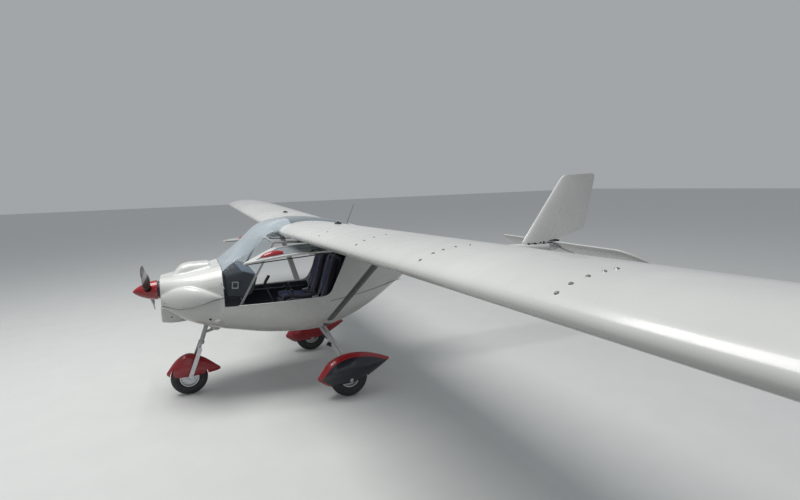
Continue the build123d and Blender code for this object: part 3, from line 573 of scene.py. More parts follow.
# %% Dress the solids
DRESS = {
    "gel_red": RED, "blade_black": TRIM, "cast_grey": CAST, "engine_metal": CAST,
    "shell_white": WHITE, "sheet_metal": PLATE, "clear_pane": SCREEN, "smoke_pane": SMOKE,
    "tube_grey": GREY_TUBE, "panel_dark": TRIM, "floor_dark": TRIM, "seat_cloth": NAVY,
    "strut_grey": STRUT_PAINTED_LIGHT_SHADE, "tyre_black": TYRE, "rim_metal": PLATE,
}
slot_of = {row["node"]: row["material_slot"] for row in frame["record"]["subparts"]}
for node, solid in frame["nodes"].items():
    solid.data.materials.clear()
    solid.data.materials.append(FRAME_PAINT if node == "cabin_frame" else DRESS[slot_of[node]])
print("solids dressed")

# %% [markdown]
# ## Outlines with rounded corners
# Doors, panes and surfaces are cut out of skins by their side outline. Real cut-outs never have
# a sharp corner, so the outline is rounded in plain Python before it becomes a cutting block.


# %% Rounded outlines, plates and pipes
def corners_of(outline):
    """Each point of a closed outline between the ones before and after it."""
    count = len(outline)
    return [[Vector(outline[(i + k) % count]) for k in (-1, 0, 1)] for i in range(count)]


def rounded(outline, radius, steps=7):
    """Outline with an arc of about this radius at each corner."""
    made = []
    for before, corner, after in corners_of(outline):
        back, on = before - corner, after - corner
        reach = min(radius, back.length * 0.45, on.length * 0.45)
        a, b = corner + back.normalized() * reach, corner + on.normalized() * reach
        for t in np.linspace(0, 1, steps):
            made.append(tuple(a * (1 - t) ** 2 + corner * 2 * t * (1 - t) + b * t**2))
    return made


def shrunk(outline, amount):
    """Outline drawn in by an amount, for a convex row of points."""
    centre = Vector((sum(p[0] for p in outline), sum(p[1] for p in outline))) / len(outline)
    made = []
    for before, corner, after in corners_of(outline):
        sides = []
        for a, b in ((before, corner), (corner, after)):
            way = (b - a).normalized()
            square = Vector((-way.y, way.x))
            sides.append(square if square.dot(centre - corner) >= 0 else -square)
        into = (sides[0] + sides[1]).normalized()
        made.append(tuple(corner + into * amount / max(into.dot(sides[0]), 0.3)))
    return made


def plate(corners, y0, y1, radius=0.004):
    """Flat plate between two sides with rounded corners, from (station, height) points."""
    return prism(rounded(corners, radius, 5), y0, y1)


def pipe(points, radius, closed=False, resolution=3):
    """Thin round section on a path."""
    curve = bpy.data.curves.new("path", "CURVE")
    curve.dimensions = "3D"
    curve.bevel_depth = radius
    curve.bevel_resolution = resolution
    curve.use_fill_caps = True
    spline = curve.splines.new("POLY")
    spline.points.add(len(points) - 1)
    for knot, point in zip(spline.points, points):
        knot.co = (*point, 1)
    spline.use_cyclic_u = closed
    made = settled(stand("path", curve))
    outward(made)
    return made


def piped(places, radius, **options):
    """Thin round section through (station, side, height) places."""
    return pipe([at(*p) for p in places], radius, **options)


# %% [markdown]
# ## Sizes shared by the pieces
# These are the solid model's stations in metres, measured aft from the spinner's tip, so that a
# finer skin lies on its solid. The hull is a few tables: the cowl, the pod behind it, the glass
# that rises out of both, the hump behind the wing, and the doors' slightly fuller sides.

# %% Hull tables
THRUST_Z = 1.115
SILL_Z = 0.965
POD_FRONT = 0.803
# station, half width, low, high, corner radius
COWL_ROWS = (
    (0.25, 0.235, 0.945, 1.238, 0.115), (0.48, 0.375, 0.815, 1.272, 0.17), (0.8, 0.475, 0.715, 1.335, 0.19),
)
POD_ROWS = (
    (0.803, 0.475, 0.715, 1.335, 0.19), (1.25, 0.54, 0.635, 1.56, 0.2), (1.75, 0.54, 0.614, 1.6, 0.2),
    (2.2, 0.455, 0.735, 1.595, 0.18), (2.7, 0.225, 0.96, 1.45, 0.12), (3.06, 0.082, 1.146, 1.302, 0.07),
)
GLASS_ROWS = (
    (0.803, 0.475, 0.6, 1.335, 0.19), (1.0, 0.505, 0.6, 1.515, 0.42), (1.24, 0.53, 0.6, 1.7, 0.38),
    (1.42, 0.54, 0.6, 1.745, 0.4), (1.66, 0.54, 0.6, 1.757, 0.4), (1.92, 0.54, 0.6, 1.724, 0.4),
    (2.16, 0.54, 0.6, 1.672, 0.4),
)
HUMP_ROWS = ((2.11, 0.53, 0.7, 1.68, 0.4), (2.42, 0.39, 0.8, 1.58, 0.33), (2.72, 0.215, 0.96, 1.44, 0.12))
DOOR_ROWS = (
    (0.86, 0.497, 0.7, 1.64, 0.15), (1.4, 0.552, 0.7, 1.64, 0.15), (1.8, 0.547, 0.7, 1.64, 0.15),
    (2.2, 0.47, 0.7, 1.64, 0.15),
)
# station and height
POST_FOOT, POST_HEAD = (0.912, 0.965), (1.285, 1.575)
REAR_FOOT, REAR_HEAD = (1.815, 0.965), (2.12, 1.535)
SEAM_FRONT, SEAM_REAR = (1.815, 0.915), (2.76, 1.0)
ROOF_FRONT, ROOF_REAR, ROOF_EDGE, OVER_ROOF = 1.5, (2.155, 1.8), 1.66, 1.8
BOOM_FRONT, BOOM_REAR, BOOM_R = (2.9, 1.2237), (5.04, 1.163), 0.057
DOOR_HINGE, DOOR_LIFT = Vector((0, 0.54, 1.503)), radians(88)
DOOR_TURN = (
    Matrix.Translation(DOOR_HINGE) @ Matrix.Rotation(DOOR_LIFT, 4, "X") @ Matrix.Translation(-DOOR_HINGE)
)

# %% [markdown]
# ## The wing section
# Both wings, the flaperons and the cut through the hull share one section, so it is a function
# of the chord fraction. A wing is that section drawn out along the dihedral, with its ends
# rounded off: the nose is swept back over the last centimetres and the thickness closes.

# %% Wing section
WING_LE = (1.371, 1.637)
ROOT_Y, CHORD, THICKNESS, CAMBER = 0.3, 1.18, 0.15, 0.035
INCIDENCE, DIHEDRAL = radians(6.3), radians(1.35)
HALF_WING = (5.07 - ROOT_Y) / cos(DIHEDRAL)
ROUND_ROOT, ROUND_TIP = 0.035, 0.055
HINGE_AT, FLAP_FROM, FLAP_TO, GAP = 0.8, 0.505, 4.305, 0.005
AFT = Vector((-cos(INCIDENCE), 0, -sin(INCIDENCE)))
ABOVE = Vector((-sin(INCIDENCE), 0, cos(INCIDENCE)))
OUT = Vector((0, cos(DIHEDRAL), sin(DIHEDRAL)))


def surface(f, side, thickness=THICKNESS, camber=CAMBER):
    """Height of a section's upper (1) or lower (-1) line, as a share of its chord."""
    half = 5 * thickness * (0.2969 * sqrt(f) - 0.126 * f - 0.3516 * f**2 + 0.2843 * f**3 - 0.1036 * f**4)
    if f < 0.4:
        mean = camber * (0.8 * f - f**2) / 0.16
    else:
        mean = camber * (0.2 + 0.8 * f - f**2) / 0.36
    return mean + side * half


def wing_point(f, height, out):
    return at(WING_LE[0], ROOT_Y, WING_LE[1]) + AFT * f * CHORD + ABOVE * height * CHORD + OUT * out


def wing_top(f, y):
    """Place on the left wing's upper skin at a distance from the middle."""
    return wing_point(f, surface(f, 1), y - ROOT_Y)


def section_ring(place, thickness=THICKNESS, camber=CAMBER, closing=1.0, nose=0.0, count=34):
    """Ring of one section, its nose swept back and its thickness closed at a wing's end."""
    shares = [(1 - cos(pi * i / count)) / 2 for i in range(count + 1)]
    loop = [(f, 1) for f in reversed(shares)] + [(f, -1) for f in shares[1:]]
    return np.array([
        tuple(place(nose + f * (1 - nose), surface(f, side, thickness, camber) * closing)) for f, side in loop
    ])


def wing_ring(out, **ends):
    return section_ring(lambda f, h: wing_point(f, h, out), **ends)


def quarter(share):
    """Height of a quarter circle over a share of its radius, from 0 to 1."""
    return sqrt(max(0.0, 1 - (1 - share) ** 2))


def wing_body(span, spans=34):
    """One wing from its root outwards, with both ends rounded."""
    outs = [ROUND_ROOT * (1 - cos(a)) for a in np.linspace(0, pi / 2, 7)]
    outs += list(np.linspace(ROUND_ROOT, span - ROUND_TIP, spans)[1:-1])
    outs += [span - ROUND_TIP * (1 - sin(a)) for a in np.linspace(0, pi / 2, 9)]
    rings = []
    for out in outs:
        root, tip = quarter(min(1, out / ROUND_ROOT)), quarter(min(1, (span - out) / ROUND_TIP))
        nose = ((1 - root) * ROUND_ROOT + (1 - tip) * ROUND_TIP) / CHORD
        rings.append(wing_ring(out, closing=(0.82 + 0.18 * root) * max(tip, 0.06), nose=nose))
    return skin(rings)


wing_root = skin([wing_ring(out) for out in (0.0, 0.4)])
wing_roots = (wing_root, mirrored(wing_root))
print("wing section ready, chord", CHORD)

# %% [markdown]
# ## Engine cowl
# The real cowl is two moulded shells. The upper one swells over the cylinder heads at each side
# and over the carburettors on top, the lower one has the radiator scoop. Swellings like these are
# hard to loft in one table, so each is its own simple form, and a voxel remesh with a little
# smoothing melts them into one skin. The shells part on a line that rises aft, and the upper one's
# cheeks end there in a hard edge.

# %% Cowl skins
# station, half width, low, high, corner radius
BLISTER = (
    (0.345, 0.05, 1.19, 1.232, 0.02), (0.395, 0.096, 1.19, 1.292, 0.05), (0.445, 0.114, 1.2, 1.338, 0.06),
    (0.5, 0.12, 1.2, 1.354, 0.055), (0.6, 0.122, 1.24, 1.357, 0.05), (0.712, 0.12, 1.27, 1.357, 0.04),
)
SCOOP = ((0.238, 0.15, 0.806, 0.965, 0.05), (0.33, 0.168, 0.792, 0.962, 0.06), (0.47, 0.15, 0.79, 0.95, 0.06))
DUCT = ((0.2, 0.138, 0.82, 0.952, 0.04), (0.4, 0.12, 0.83, 0.93, 0.04))
OUTLET = ((0.74, 0.085, 0.672, 0.735, 0.025), (0.83, 0.066, 0.678, 0.738, 0.025))
# station, height, side, half width, half height
CHEEK = (
    (0.25, 1.03, 0.195, 0.062, 0.085), (0.38, 1.045, 0.3, 0.07, 0.115), (0.52, 1.06, 0.378, 0.078, 0.115),
    (0.64, 1.06, 0.424, 0.056, 0.08), (0.79, 1.055, 0.464, 0.014, 0.014),
)
BELLY = ((0.645, 0.712, 0, 0.07, 0.012), (0.725, 0.705, 0, 0.1, 0.074), (0.8, 0.708, 0, 0.075, 0.046))
# station, height
PARTING = ((0.2, 1.012), (0.33, 0.988), (0.41, 0.973), (0.48, 0.986), (0.6, 1.012), (0.7, 1.044), (0.8, 1.06))
PARTING_GAP = 0.003
base = hull(COWL_ROWS, end=0.83)
cheek = pod(CHEEK)
upper_blank = melt(join(base, hull(BLISTER), cheek, mirrored(cheek)), 0.007, 5)
lower_blank = melt(join(base, hull(SCOOP), pod(BELLY)), 0.0075, 5)
above_line = prism([*PARTING, (0.8, 1.5), (0.2, 1.5)])
below_line = prism([(s, z - PARTING_GAP) for s, z in PARTING] + [(0.8, 0.6), (0.2, 0.6)])
mouth = bar(0.2, 0, THRUST_Z, 0.34, 0, THRUST_Z, 0.097, around=64)
leg_hole = bar(0.552, 0, 0.46, 0.69, 0, 0.84, 0.034, around=32)
upper = carve(upper_blank, *within(above_line), *less(mouth))
lower = carve(
    lower_blank, *within(below_line), *less(mouth, hull(DUCT, count=4), leg_hole, hull(OUTLET, count=4)),
)
piece("cowl_upper_skin", upper, WHITE, stands_for=("cowl_upper",))
piece("cowl_lower_skin", lower, WHITE, stands_for=("cowl_lower",))
print("cowl:", len(upper.polygons), "and", len(lower.polygons), "faces")

# %% [markdown]
# ## Hull, roof hump and glass
# Tub, rear fairing, windscreen and roof pane are shells of one lofted body. Each is the outer
# hull less the inner one, cut by its own side outline, with a 2 mm gap at the panel joints. The
# wings pass through, so their root section is cut from each shell as well. The door opening's
# lower rear corner is filled by a curve of these lengths along the sill and up the post.

# %% Tub and rear fairing
WALL, HALF_GAP = 0.013, 0.001
FILL_LONG, FILL_HIGH = 0.075, 0.07
post_slope = (REAR_HEAD[0] - REAR_FOOT[0]) / (REAR_HEAD[1] - REAR_FOOT[1])
fill_top = (REAR_FOOT[0] + FILL_HIGH * post_slope, REAR_FOOT[1] + FILL_HIGH)
fill_ends = ((REAR_FOOT[0] - FILL_LONG, SILL_Z), (REAR_FOOT[0], SILL_Z), fill_top)
corner_fill = [
    tuple((1 - t) ** 2 * a + 2 * t * (1 - t) * b + t * t * c for a, b, c in zip(*fill_ends))
    for t in np.linspace(0, 1, 7)
]
tub_side = [
    (POD_FRONT, 0.5), (POD_FRONT, SILL_Z), *corner_fill, REAR_FOOT,
    *[(s, z - HALF_GAP) for s, z in (SEAM_FRONT, SEAM_REAR)], (SEAM_REAR[0], 0.5),
]
tub = carve(
    hull(POD_ROWS, count=70), *less(hull(POD_ROWS, WALL, 60, 0.81, 3.05)), *within(prism(tub_side)),
)
piece("cabin_tub_shell", tub, WHITE, stands_for=("cabin_tub",))
over_wing = prism([(2.11, 1.8), (2.11, 1.535), (2.544, 1.5), (2.72, 1.4), (2.72, 1.8)])
hump = carve(hull(HUMP_ROWS, count=30), *within(over_wing))
back_blank = melt(join(hull(POD_ROWS, start=1.7, count=60), hump), 0.009, 5)
rear_side = [
    (SEAM_FRONT[0], SEAM_FRONT[1] + HALF_GAP), REAR_FOOT, REAR_HEAD, ROOF_REAR, (3.06, 1.8), (3.06, 0.9),
    (SEAM_REAR[0], SEAM_REAR[1] + HALF_GAP),
]
boom_axis = (at(BOOM_FRONT[0], 0, BOOM_FRONT[1]), at(BOOM_REAR[0], 0, BOOM_REAR[1]))
rear = carve(
    back_blank, *less(hull(POD_ROWS, WALL, start=1.6, end=2.9)), *within(prism(rear_side)),
    *less(*wing_roots, tube(*boom_axis, BOOM_R + HALF_GAP, around=64)),
)
piece("rear_fairing_shell", rear, WHITE, stands_for=("rear_fairing",))
print("tub and fairing:", len(tub.polygons), len(rear.polygons), "faces")

# %% Windscreen and roof pane
PANE_THICK, JOINT = 0.005, 0.002
screen_side = [
    (POD_FRONT + JOINT, SILL_Z + JOINT), POST_FOOT, POST_HEAD, (WING_LE[0], 1.6), (ROOF_FRONT, ROOF_EDGE),
    (ROOF_FRONT, OVER_ROOF), (POD_FRONT + JOINT, OVER_ROOF),
]
roof_side = [(ROOF_FRONT + JOINT, ROOF_EDGE), REAR_HEAD, ROOF_REAR, (ROOF_FRONT + JOINT, OVER_ROOF)]
glass_outer = hull(GLASS_ROWS, count=90)
glass_inner = less(hull(GLASS_ROWS, PANE_THICK, 90, 0.79, 2.17))
screen = carve(glass_outer, *glass_inner, *within(prism(screen_side)), *less(*wing_roots))
roof = carve(glass_outer, *glass_inner, *within(prism(roof_side, -ROOT_Y, ROOT_Y)), *less(*wing_roots))
piece("windscreen_pane", screen, SCREEN, stands_for=("windscreen",))
piece("roof_pane", roof, SMOKE, stands_for=("roof_glass",))
print("glass:", len(screen.polygons), len(roof.polygons), "faces")

# %% [markdown]
# ## Wings and flaperons
# The flaperon hinges on a round nose inside the wing, so the wing has a matching trough: a
# cylinder and a block are cut from it. The flaperon's ring follows the wing's section aft of the
# hinge and closes round that nose.

# %% Wings
hinge_mid = (surface(HINGE_AT, 1) + surface(HINGE_AT, -1)) / 2
hinge_r = (surface(HINGE_AT, 1) - surface(HINGE_AT, -1)) * CHORD / 2 - 0.0015
bay = (FLAP_FROM - GAP, FLAP_TO + GAP)
trough = tube(*[wing_point(HINGE_AT, hinge_mid, out) for out in bay], hinge_r + GAP, around=48)
corners = ((HINGE_AT, -0.1), (HINGE_AT, 0.1), (1.1, 0.1), (1.1, -0.1))
behind_hinge = skin([np.array([tuple(wing_point(f, h, out)) for f, h in corners]) for out in bay])
wing = carve(wing_body(HALF_WING), *less(trough, behind_hinge))
for side, turn in SIDES:
    piece(f"wing_{side}_skin", turn(wing), WHITE, stands_for=(f"wing_{side}",))


def flap_ring(out):
    upper_line = [(f, surface(f, 1)) for f in np.linspace(1, HINGE_AT, 12)]
    lower_line = [(f, surface(f, -1)) for f in np.linspace(HINGE_AT, 1, 12)]
    nose = [
        (HINGE_AT - sin(a) * hinge_r / CHORD, hinge_mid + cos(a) * hinge_r / CHORD)
        for a in np.linspace(0.08, pi - 0.08, 14)
    ]
    return np.array([tuple(wing_point(f, h, out)) for f, h in upper_line + nose + lower_line])


flap = skin([flap_ring(out) for out in np.linspace(FLAP_FROM, FLAP_TO, 24)])
for side, turn in SIDES:
    name = f"flaperon_{side}"
    piece(f"{name}_skin", turn(flap), WHITE, f"{name}_group", (name,))
print("wing faces:", len(wing.polygons))

# %% [markdown]
# ## Tail
# Fin and rudder share a symmetric section that narrows upwards. The blank between a base and a
# top section is cut by the rounded side outline, then parted along the hinge line. Two separate
# lofts would do too, but one blank cut in two keeps their sides flush. The tailplane moves as a
# whole: two lofted halves on a cross tube, drawn at the slope at which it hangs when parked.

# %% Fin, rudder and boom
# station, height
FIN_SIDE = (
    (4.551, 1.224), (5.2, 2.062), (5.262, 2.112), (5.81, 2.128), (5.622, 1.402), (5.56, 1.366), (5.09, 1.262),
)
HINGE_LINE = ((4.992, 1.25), (5.432, 2.128))
NOSE_RADII = (0.0426, 0.0241)
# leading edge, height, trailing edge
FIN_ENDS = ((4.53, 1.19, 5.6), (5.245, 2.14, 5.81))


def fin_ring(lead, z, trail):
    return section_ring(lambda f, h: at(lead + f * (trail - lead), h * (trail - lead), z), 0.085, 0.0)


fin_blank = skin([
    fin_ring(*[a + (b - a) * t for a, b in zip(*FIN_ENDS)]) for t in np.linspace(0, 1, 20)
])
outline = prism(rounded(FIN_SIDE, 0.085), -0.1, 0.1)
low, high = (at(s, 0, z) for s, z in HINGE_LINE)


def hinge_nose(grow, ends):
    radii = [NOSE_RADII[0] + (NOSE_RADII[1] - NOSE_RADII[0]) * t - 0.0015 + grow for t in ends]
    return tube(*[low + (high - low) * t for t in ends], *radii, around=40)


aft_side = prism([*HINGE_LINE, (6.2, 2.128), (6.2, 1.25)], -0.15, 0.15)
aft_side_long = prism([(4.952, 1.17), (5.46, 2.184), (6.2, 2.184), (6.2, 1.17)], -0.15, 0.15)
fin = carve(fin_blank, *within(outline), *less(aft_side_long, hinge_nose(GAP, (-0.12, 1.12))))
nose = carve(hinge_nose(0, (-0.1, 1.1)), *within(outline))
rudder = carve(carve(fin_blank, *within(outline, aft_side)), ("UNION", nose))
boom = tube(*boom_axis, BOOM_R, around=64)
piece("fin_skin", join(fin, boom), WHITE, stands_for=("fin", "tail_boom"))
piece("rudder_skin", rudder, WHITE, "rudder_group", ("rudder",))

# %% Tailplane
TAIL_PIVOT, TAIL_CHORD, TAIL_HALF, TAIL_SQUARE = (5.2, 1.168), 0.56, 1.275, 1.08
TAIL_TILT = radians(25)
tail_aft = Vector((-cos(TAIL_TILT), 0, -sin(TAIL_TILT)))
tail_up = Vector((-sin(TAIL_TILT), 0, cos(TAIL_TILT)))
tail_lead = at(TAIL_PIVOT[0], 0, TAIL_PIVOT[1]) - tail_aft * TAIL_CHORD * 0.27


def tail_ring(y):
    past = max(0.0, (y - TAIL_SQUARE) / (TAIL_HALF - TAIL_SQUARE - 0.004))
    nose = 0.8 * (1 - sqrt(max(0.0, 1 - min(past, 1) ** 2)))
    end = sqrt(max(0.02, 1 - max(0.0, (y - TAIL_HALF + 0.04) / 0.04) ** 2))
    return section_ring(
        lambda f, h: tail_lead + Vector((0, y, 0)) + (tail_aft * f + tail_up * h) * TAIL_CHORD,
        0.1, 0.0, closing=end * (1 - nose), nose=nose,
    )


tail_cuts = (*np.linspace(0.075, TAIL_SQUARE, 12), *np.linspace(1.09, TAIL_HALF, 16))
half_tail = skin([tail_ring(y) for y in tail_cuts])
cross_tube = bar(TAIL_PIVOT[0], -0.115, TAIL_PIVOT[1], TAIL_PIVOT[0], 0.115, TAIL_PIVOT[1], 0.018, around=40)
tail_skin = join(half_tail, mirrored(half_tail), cross_tube)
piece("tailplane_skin", tail_skin, WHITE, "tailplane_group", ("tailplane",))
print("tail done")

# %% [markdown]
# ## Spinner and propeller
# The spinner is a turned shell with a cut-out round each blade. A blade is a row of sections that
# twist and thin outwards. Its black finish has a pale band, so the paint reads the distance from
# the shaft.

# %% Spinner and blades
# station, radius
SPINNER = (
    (0.0, 0.002), (0.012, 0.017), (0.03, 0.032), (0.06, 0.051), (0.09, 0.0655), (0.13, 0.080), (0.17, 0.090),
    (0.205, 0.0945), (0.222, 0.095),
)
PROP_AT, PROP_ANGLE = 0.14, radians(25)
# distance out, half chord, half thickness, pitch
BLADE = (
    (0.03, 0.025, 0.025, 70), (0.1, 0.026, 0.022, 60), (0.15, 0.034, 0.018, 48), (0.26, 0.056, 0.012, 34),
    (0.42, 0.054, 0.0085, 25), (0.6, 0.043, 0.006, 18), (0.72, 0.032, 0.0045, 14), (0.746, 0.018, 0.003, 14),
)
BAND_FROM, BAND_TO = 0.41, 0.585


def turned(rows):
    """Solid of revolution about the shaft, over (station, radius) rows."""
    return skin([
        np.array([(NOSE - s, r * cos(a), THRUST_Z + r * sin(a)) for a in circle(64)]) for s, r in rows
    ])


def on_shaft(start, end, *radii):
    return bar(start, 0, THRUST_Z, end, 0, THRUST_Z, *radii, around=48)


hub = at(PROP_AT, 0, THRUST_Z)
blade_way = Vector((0, cos(PROP_ANGLE), sin(PROP_ANGLE))) * 0.11
opening = tube(hub - blade_way, hub + blade_way, 0.033, around=40)
spinner = carve(turned(SPINNER), *less(on_shaft(0.1, 0.23, 0.05, 0.088), opening))
piece("spinner_shell", spinner, RED, "propeller_group", ("spinner",))


def blade(turn):
    out = Vector((0, cos(turn), sin(turn)))
    tangent = Vector((0, -sin(turn), cos(turn)))
    where = np.linspace(BLADE[0][0], BLADE[-1][0], 40)
    rings = []
    for r, (half, thick, pitch) in zip(where, along(BLADE, where)):
        way = tangent * cos(radians(pitch)) - Vector((1, 0, 0)) * sin(radians(pitch))
        flat = out.cross(way)
        rings.append(np.array([
            tuple(hub + out * r + way * (half * cos(a)) + flat * (thick * (sin(a) + 0.15 * abs(sin(a)))))
            for a in circle(36)
        ]))
    return skin(rings)


f = Finish("blade_lacquer", Coat_Roughness=0.1)
reach = (f.axes.out("Y").maths("POWER", 2.0) + (f.axes.out("Z") - THRUST_Z).maths("POWER", 2.0)).maths("SQRT")
band = (reach > BAND_FROM) * (reach < BAND_TO)
black = f.mix(f.drift(30.0, 0.0, 1.0), (0.010, 0.010, 0.012), (0.022, 0.022, 0.026))
f.set(
    Base_Color=f.mix(band, black, (0.50, 0.51, 0.52)), Roughness=f.drift(24.0, 0.38, 0.52),
    Coat_Weight=f.drift(24.0, 0.15, 0.05),
)
f.bump((f.noise(60.0, 3.0), 0.00002))
blades = join(blade(PROP_ANGLE), blade(PROP_ANGLE + pi), on_shaft(0.1, 0.226, 0.045))
piece("propeller_blades", blades, f.material, "propeller_group", ("propeller",))
print("propeller done")

# %% [markdown]
# ## Wheel spats
# A spat is a thin pod, open below, with a well for the tyre. The main spats are coloured red on the
# crown and nose and dark navy on the rest of the outer side. That border keeps a constant distance
# from the pod's outline in side view, so each point carries that distance as an attribute.

# %% Spats
# station, height, side, half width, half height
MAIN_SPAT = (
    (1.58, 0.218, 0, 0.014, 0.016), (1.66, 0.238, 0, 0.078, 0.096), (1.83, 0.268, 0, 0.106, 0.152),
    (2.01, 0.286, 0, 0.1, 0.142), (2.19, 0.306, 0, 0.058, 0.078), (2.32, 0.316, 0, 0.01, 0.012),
)
NOSE_SPAT = (
    (0.23, 0.24, 0, 0.012, 0.014), (0.3, 0.258, 0, 0.062, 0.088), (0.43, 0.28, 0, 0.086, 0.146),
    (0.58, 0.262, 0, 0.062, 0.108), (0.742, 0.226, 0, 0.009, 0.011),
)
SPAT_WALL, NOSE_BORDER = 0.004, 0.12
MAIN_AXLE, NOSE_AXLE = (1.89, 0.19), (0.437, 0.178)


def spat(rows, y, low, wheel, well_r, half_width):
    """Open pod with a wheel well, its points marked by where they sit round the crown."""
    first, last = rows[0][0], rows[-1][0]
    well = bar(wheel[0], y - half_width, wheel[1], wheel[0], y + half_width, wheel[1], well_r, around=64)
    above = [(first - 0.1, low), (last + 0.1, low), (last + 0.1, 0.8), (first - 0.1, 0.8)]
    made = carve(
        pod(rows, y, 0.0, 60, 72), *less(pod(rows, y, SPAT_WALL, 60, 72)),
        *within(prism(above, y - 0.3, y + 0.3)), *less(well),
    )
    points = np.empty(len(made.vertices) * 3)
    made.vertices.foreach_get("co", points)
    side_view = np.stack([NOSE - points[::3], points[2::3]], 1)
    where = np.linspace(first, last, 160)
    shape = along(rows, where)
    crown_line = np.stack([where, shape[:, 0] + shape[:, 3]], 1)
    front = where < first + NOSE_BORDER
    front_line = np.stack([where[front], (shape[:, 0] - shape[:, 3])[front]], 1)
    border = np.concatenate([crown_line, front_line])
    reach = np.sqrt(((side_view[:, None] - border[None]) ** 2).sum(2)).min(1)
    made.attributes.new("crown", "FLOAT", "POINT").data.foreach_set("value", reach)
    return made


f = Finish("spat_red_dark_side", Coat_Roughness=0.1)
crown = f.add("ShaderNodeAttribute", {"attribute_name": "crown"}).out("Fac")
outboard = f.spread(f.axes.out("Y").maths("ABSOLUTE"), 0.80, 0.803)
navy = f.spread(crown, 0.030, 0.032) * outboard
dust = f.spread(f.noise(9.0, 7.0), 0.55, 0.85) * 0.03
f.set(
    Base_Color=f.mix(dust, f.mix(navy, RED_PIGMENT, (0.003, 0.0035, 0.012)), (0.22, 0.18, 0.15)),
    Roughness=f.drift(9.0, 0.2, 0.24) + dust, Coat_Weight=f.drift(9.0, 0.5, 0.45),
)
f.bump((f.noise(4.0, 1.0), 0.0005), (f.noise(400.0, 2.0), 0.000003))
main_spat = spat(MAIN_SPAT, 0.8, 0.125, MAIN_AXLE, 0.198, 0.067)
nose_spat = spat(NOSE_SPAT, 0.0, 0.205, NOSE_AXLE, 0.186, 0.054)
piece("main_spats_shell", both(main_spat), f.material, stands_for=("main_spats",))
piece("nose_spat_shell", nose_spat, RED, "nose_steering", ("nose_spat",))
print("spats done")

# %% [markdown]
# ## Gull-wing doors
# A door is a moulded frame round a smoked pane, cut from the same curved shell as the cabin side.
# It is easiest to cut while shut and then to turn up about its hinge line, frame, pane, vent and
# latch together. Its front edge is wider and thinner, to clear the cabin's frame, and a notch
# clears the hinge arm.

# %% Doors
# station, height
DOOR_SIDE = ((0.927, 0.977), (1.269, 1.506), (2.08, 1.506), (1.809, 1.018), (1.755, 0.977))
ARM_NOTCH = ((1.949, 1.492), (1.971, 1.492), (1.971, 1.515), (1.949, 1.515))
# station, height, side, half width, half height
VENT = (
    (1.09, 1.13, -0.014, 0.003, 0.004), (1.13, 1.13, -0.009, 0.026, 0.03), (1.24, 1.13, 0, 0.042, 0.04),
    (1.298, 1.13, 0, 0.034, 0.034),
)
FRONT_FRAME, FRAME_WIDE, FACE_ROUND = 0.03, 0.042, 0.05


def door_hull(inset):
    return hull(DOOR_ROWS, inset, 50, 0.85, 2.21)


def door_block(side):
    return prism(side, 0.3, 0.7)


wide_side = [(s + FRONT_FRAME, z) if i < 2 else (s, z) for i, (s, z) in enumerate(DOOR_SIDE)]
face_block = door_block(rounded(shrunk(wide_side, FRAME_WIDE), FACE_ROUND))
thinning = carve(door_block(rounded(shrunk(DOOR_SIDE, FRAME_WIDE), FACE_ROUND)), *within(door_hull(0.007)))
door_frame = carve(
    hull(DOOR_ROWS, count=50), *less(door_hull(0.014)), *within(door_block(rounded(DOOR_SIDE, 0.03))),
    *less(face_block, thinning, prism(ARM_NOTCH, 0.4, 0.54)),
)
door_pane = carve(hull(DOOR_ROWS, 0.005, count=50), *less(door_hull(0.009)), *within(face_block))
vent = carve(pod(VENT, 0.53), *less(hull(DOOR_ROWS, 0.006, count=50)))
for mesh in (door_frame, door_pane, vent):
    mesh.transform(DOOR_TURN)
for side, turn in SIDES:
    body = f"door_{side}_group"
    piece(f"door_{side}_frame", turn(door_frame), WHITE, body, (f"door_{side}",))
    piece(f"door_{side}_pane", turn(door_pane), SMOKE, body, (f"door_glass_{side}",))
    piece(f"door_{side}_vent", turn(vent), RED, body, (f"door_vent_{side}",))
print("doors done")

# %% [markdown]
# ## Lift struts
# Each strut is a streamlined tube with a small cuff where it meets the hull and the wing. A
# curve with a bevel shape could draw it, but its section may turn about the path. A skin over two
# equal rings keeps the section's long side along the flight.

# %% Struts
STRUT_FOOT, STRUT_HEAD = at(1.78, 0.44, 0.65), at(1.78, 2.19, 1.6)
strut_way = (STRUT_HEAD - STRUT_FOOT).normalized()
ALONG_CHORD = Vector((1, 0, 0))


def strut_skin(start, end, half_chord, half_thick):
    square = strut_way.cross(ALONG_CHORD).normalized()
    ring = [
        ALONG_CHORD * (half_chord * cos(a)) + square * (half_thick * sin(a) * (0.8 + 0.2 * cos(a)))
        for a in circle(40)
    ]
    return skin([np.array([tuple(p + off) for off in ring]) for p in (start, end)])


def cuff(place, from_end, to_end):
    return strut_skin(place + strut_way * from_end, place + strut_way * to_end, 0.041, 0.018)


strut = carve(strut_skin(STRUT_FOOT, STRUT_HEAD, 0.036, 0.013), *less(hull(POD_ROWS, 0.004)))
piece("lift_strut_skins", both(strut), STRUT_PAINTED_LIGHT_SHADE, stands_for=("lift_struts",))
piece("strut_cuffs", both(cuff(STRUT_FOOT, 0.11, 0.2), cuff(STRUT_HEAD, -0.12, -0.03)), WHITE)
print("struts done")

# %% [markdown]
# ## Screws from Geometry Nodes
# Cowl, spinner and wing panels are held by rows of small screws. Each row is a few points with an
# outward direction. A node tree puts one domed head on every point, turns it outwards, and makes
# the copies real, because the export keeps no instances.


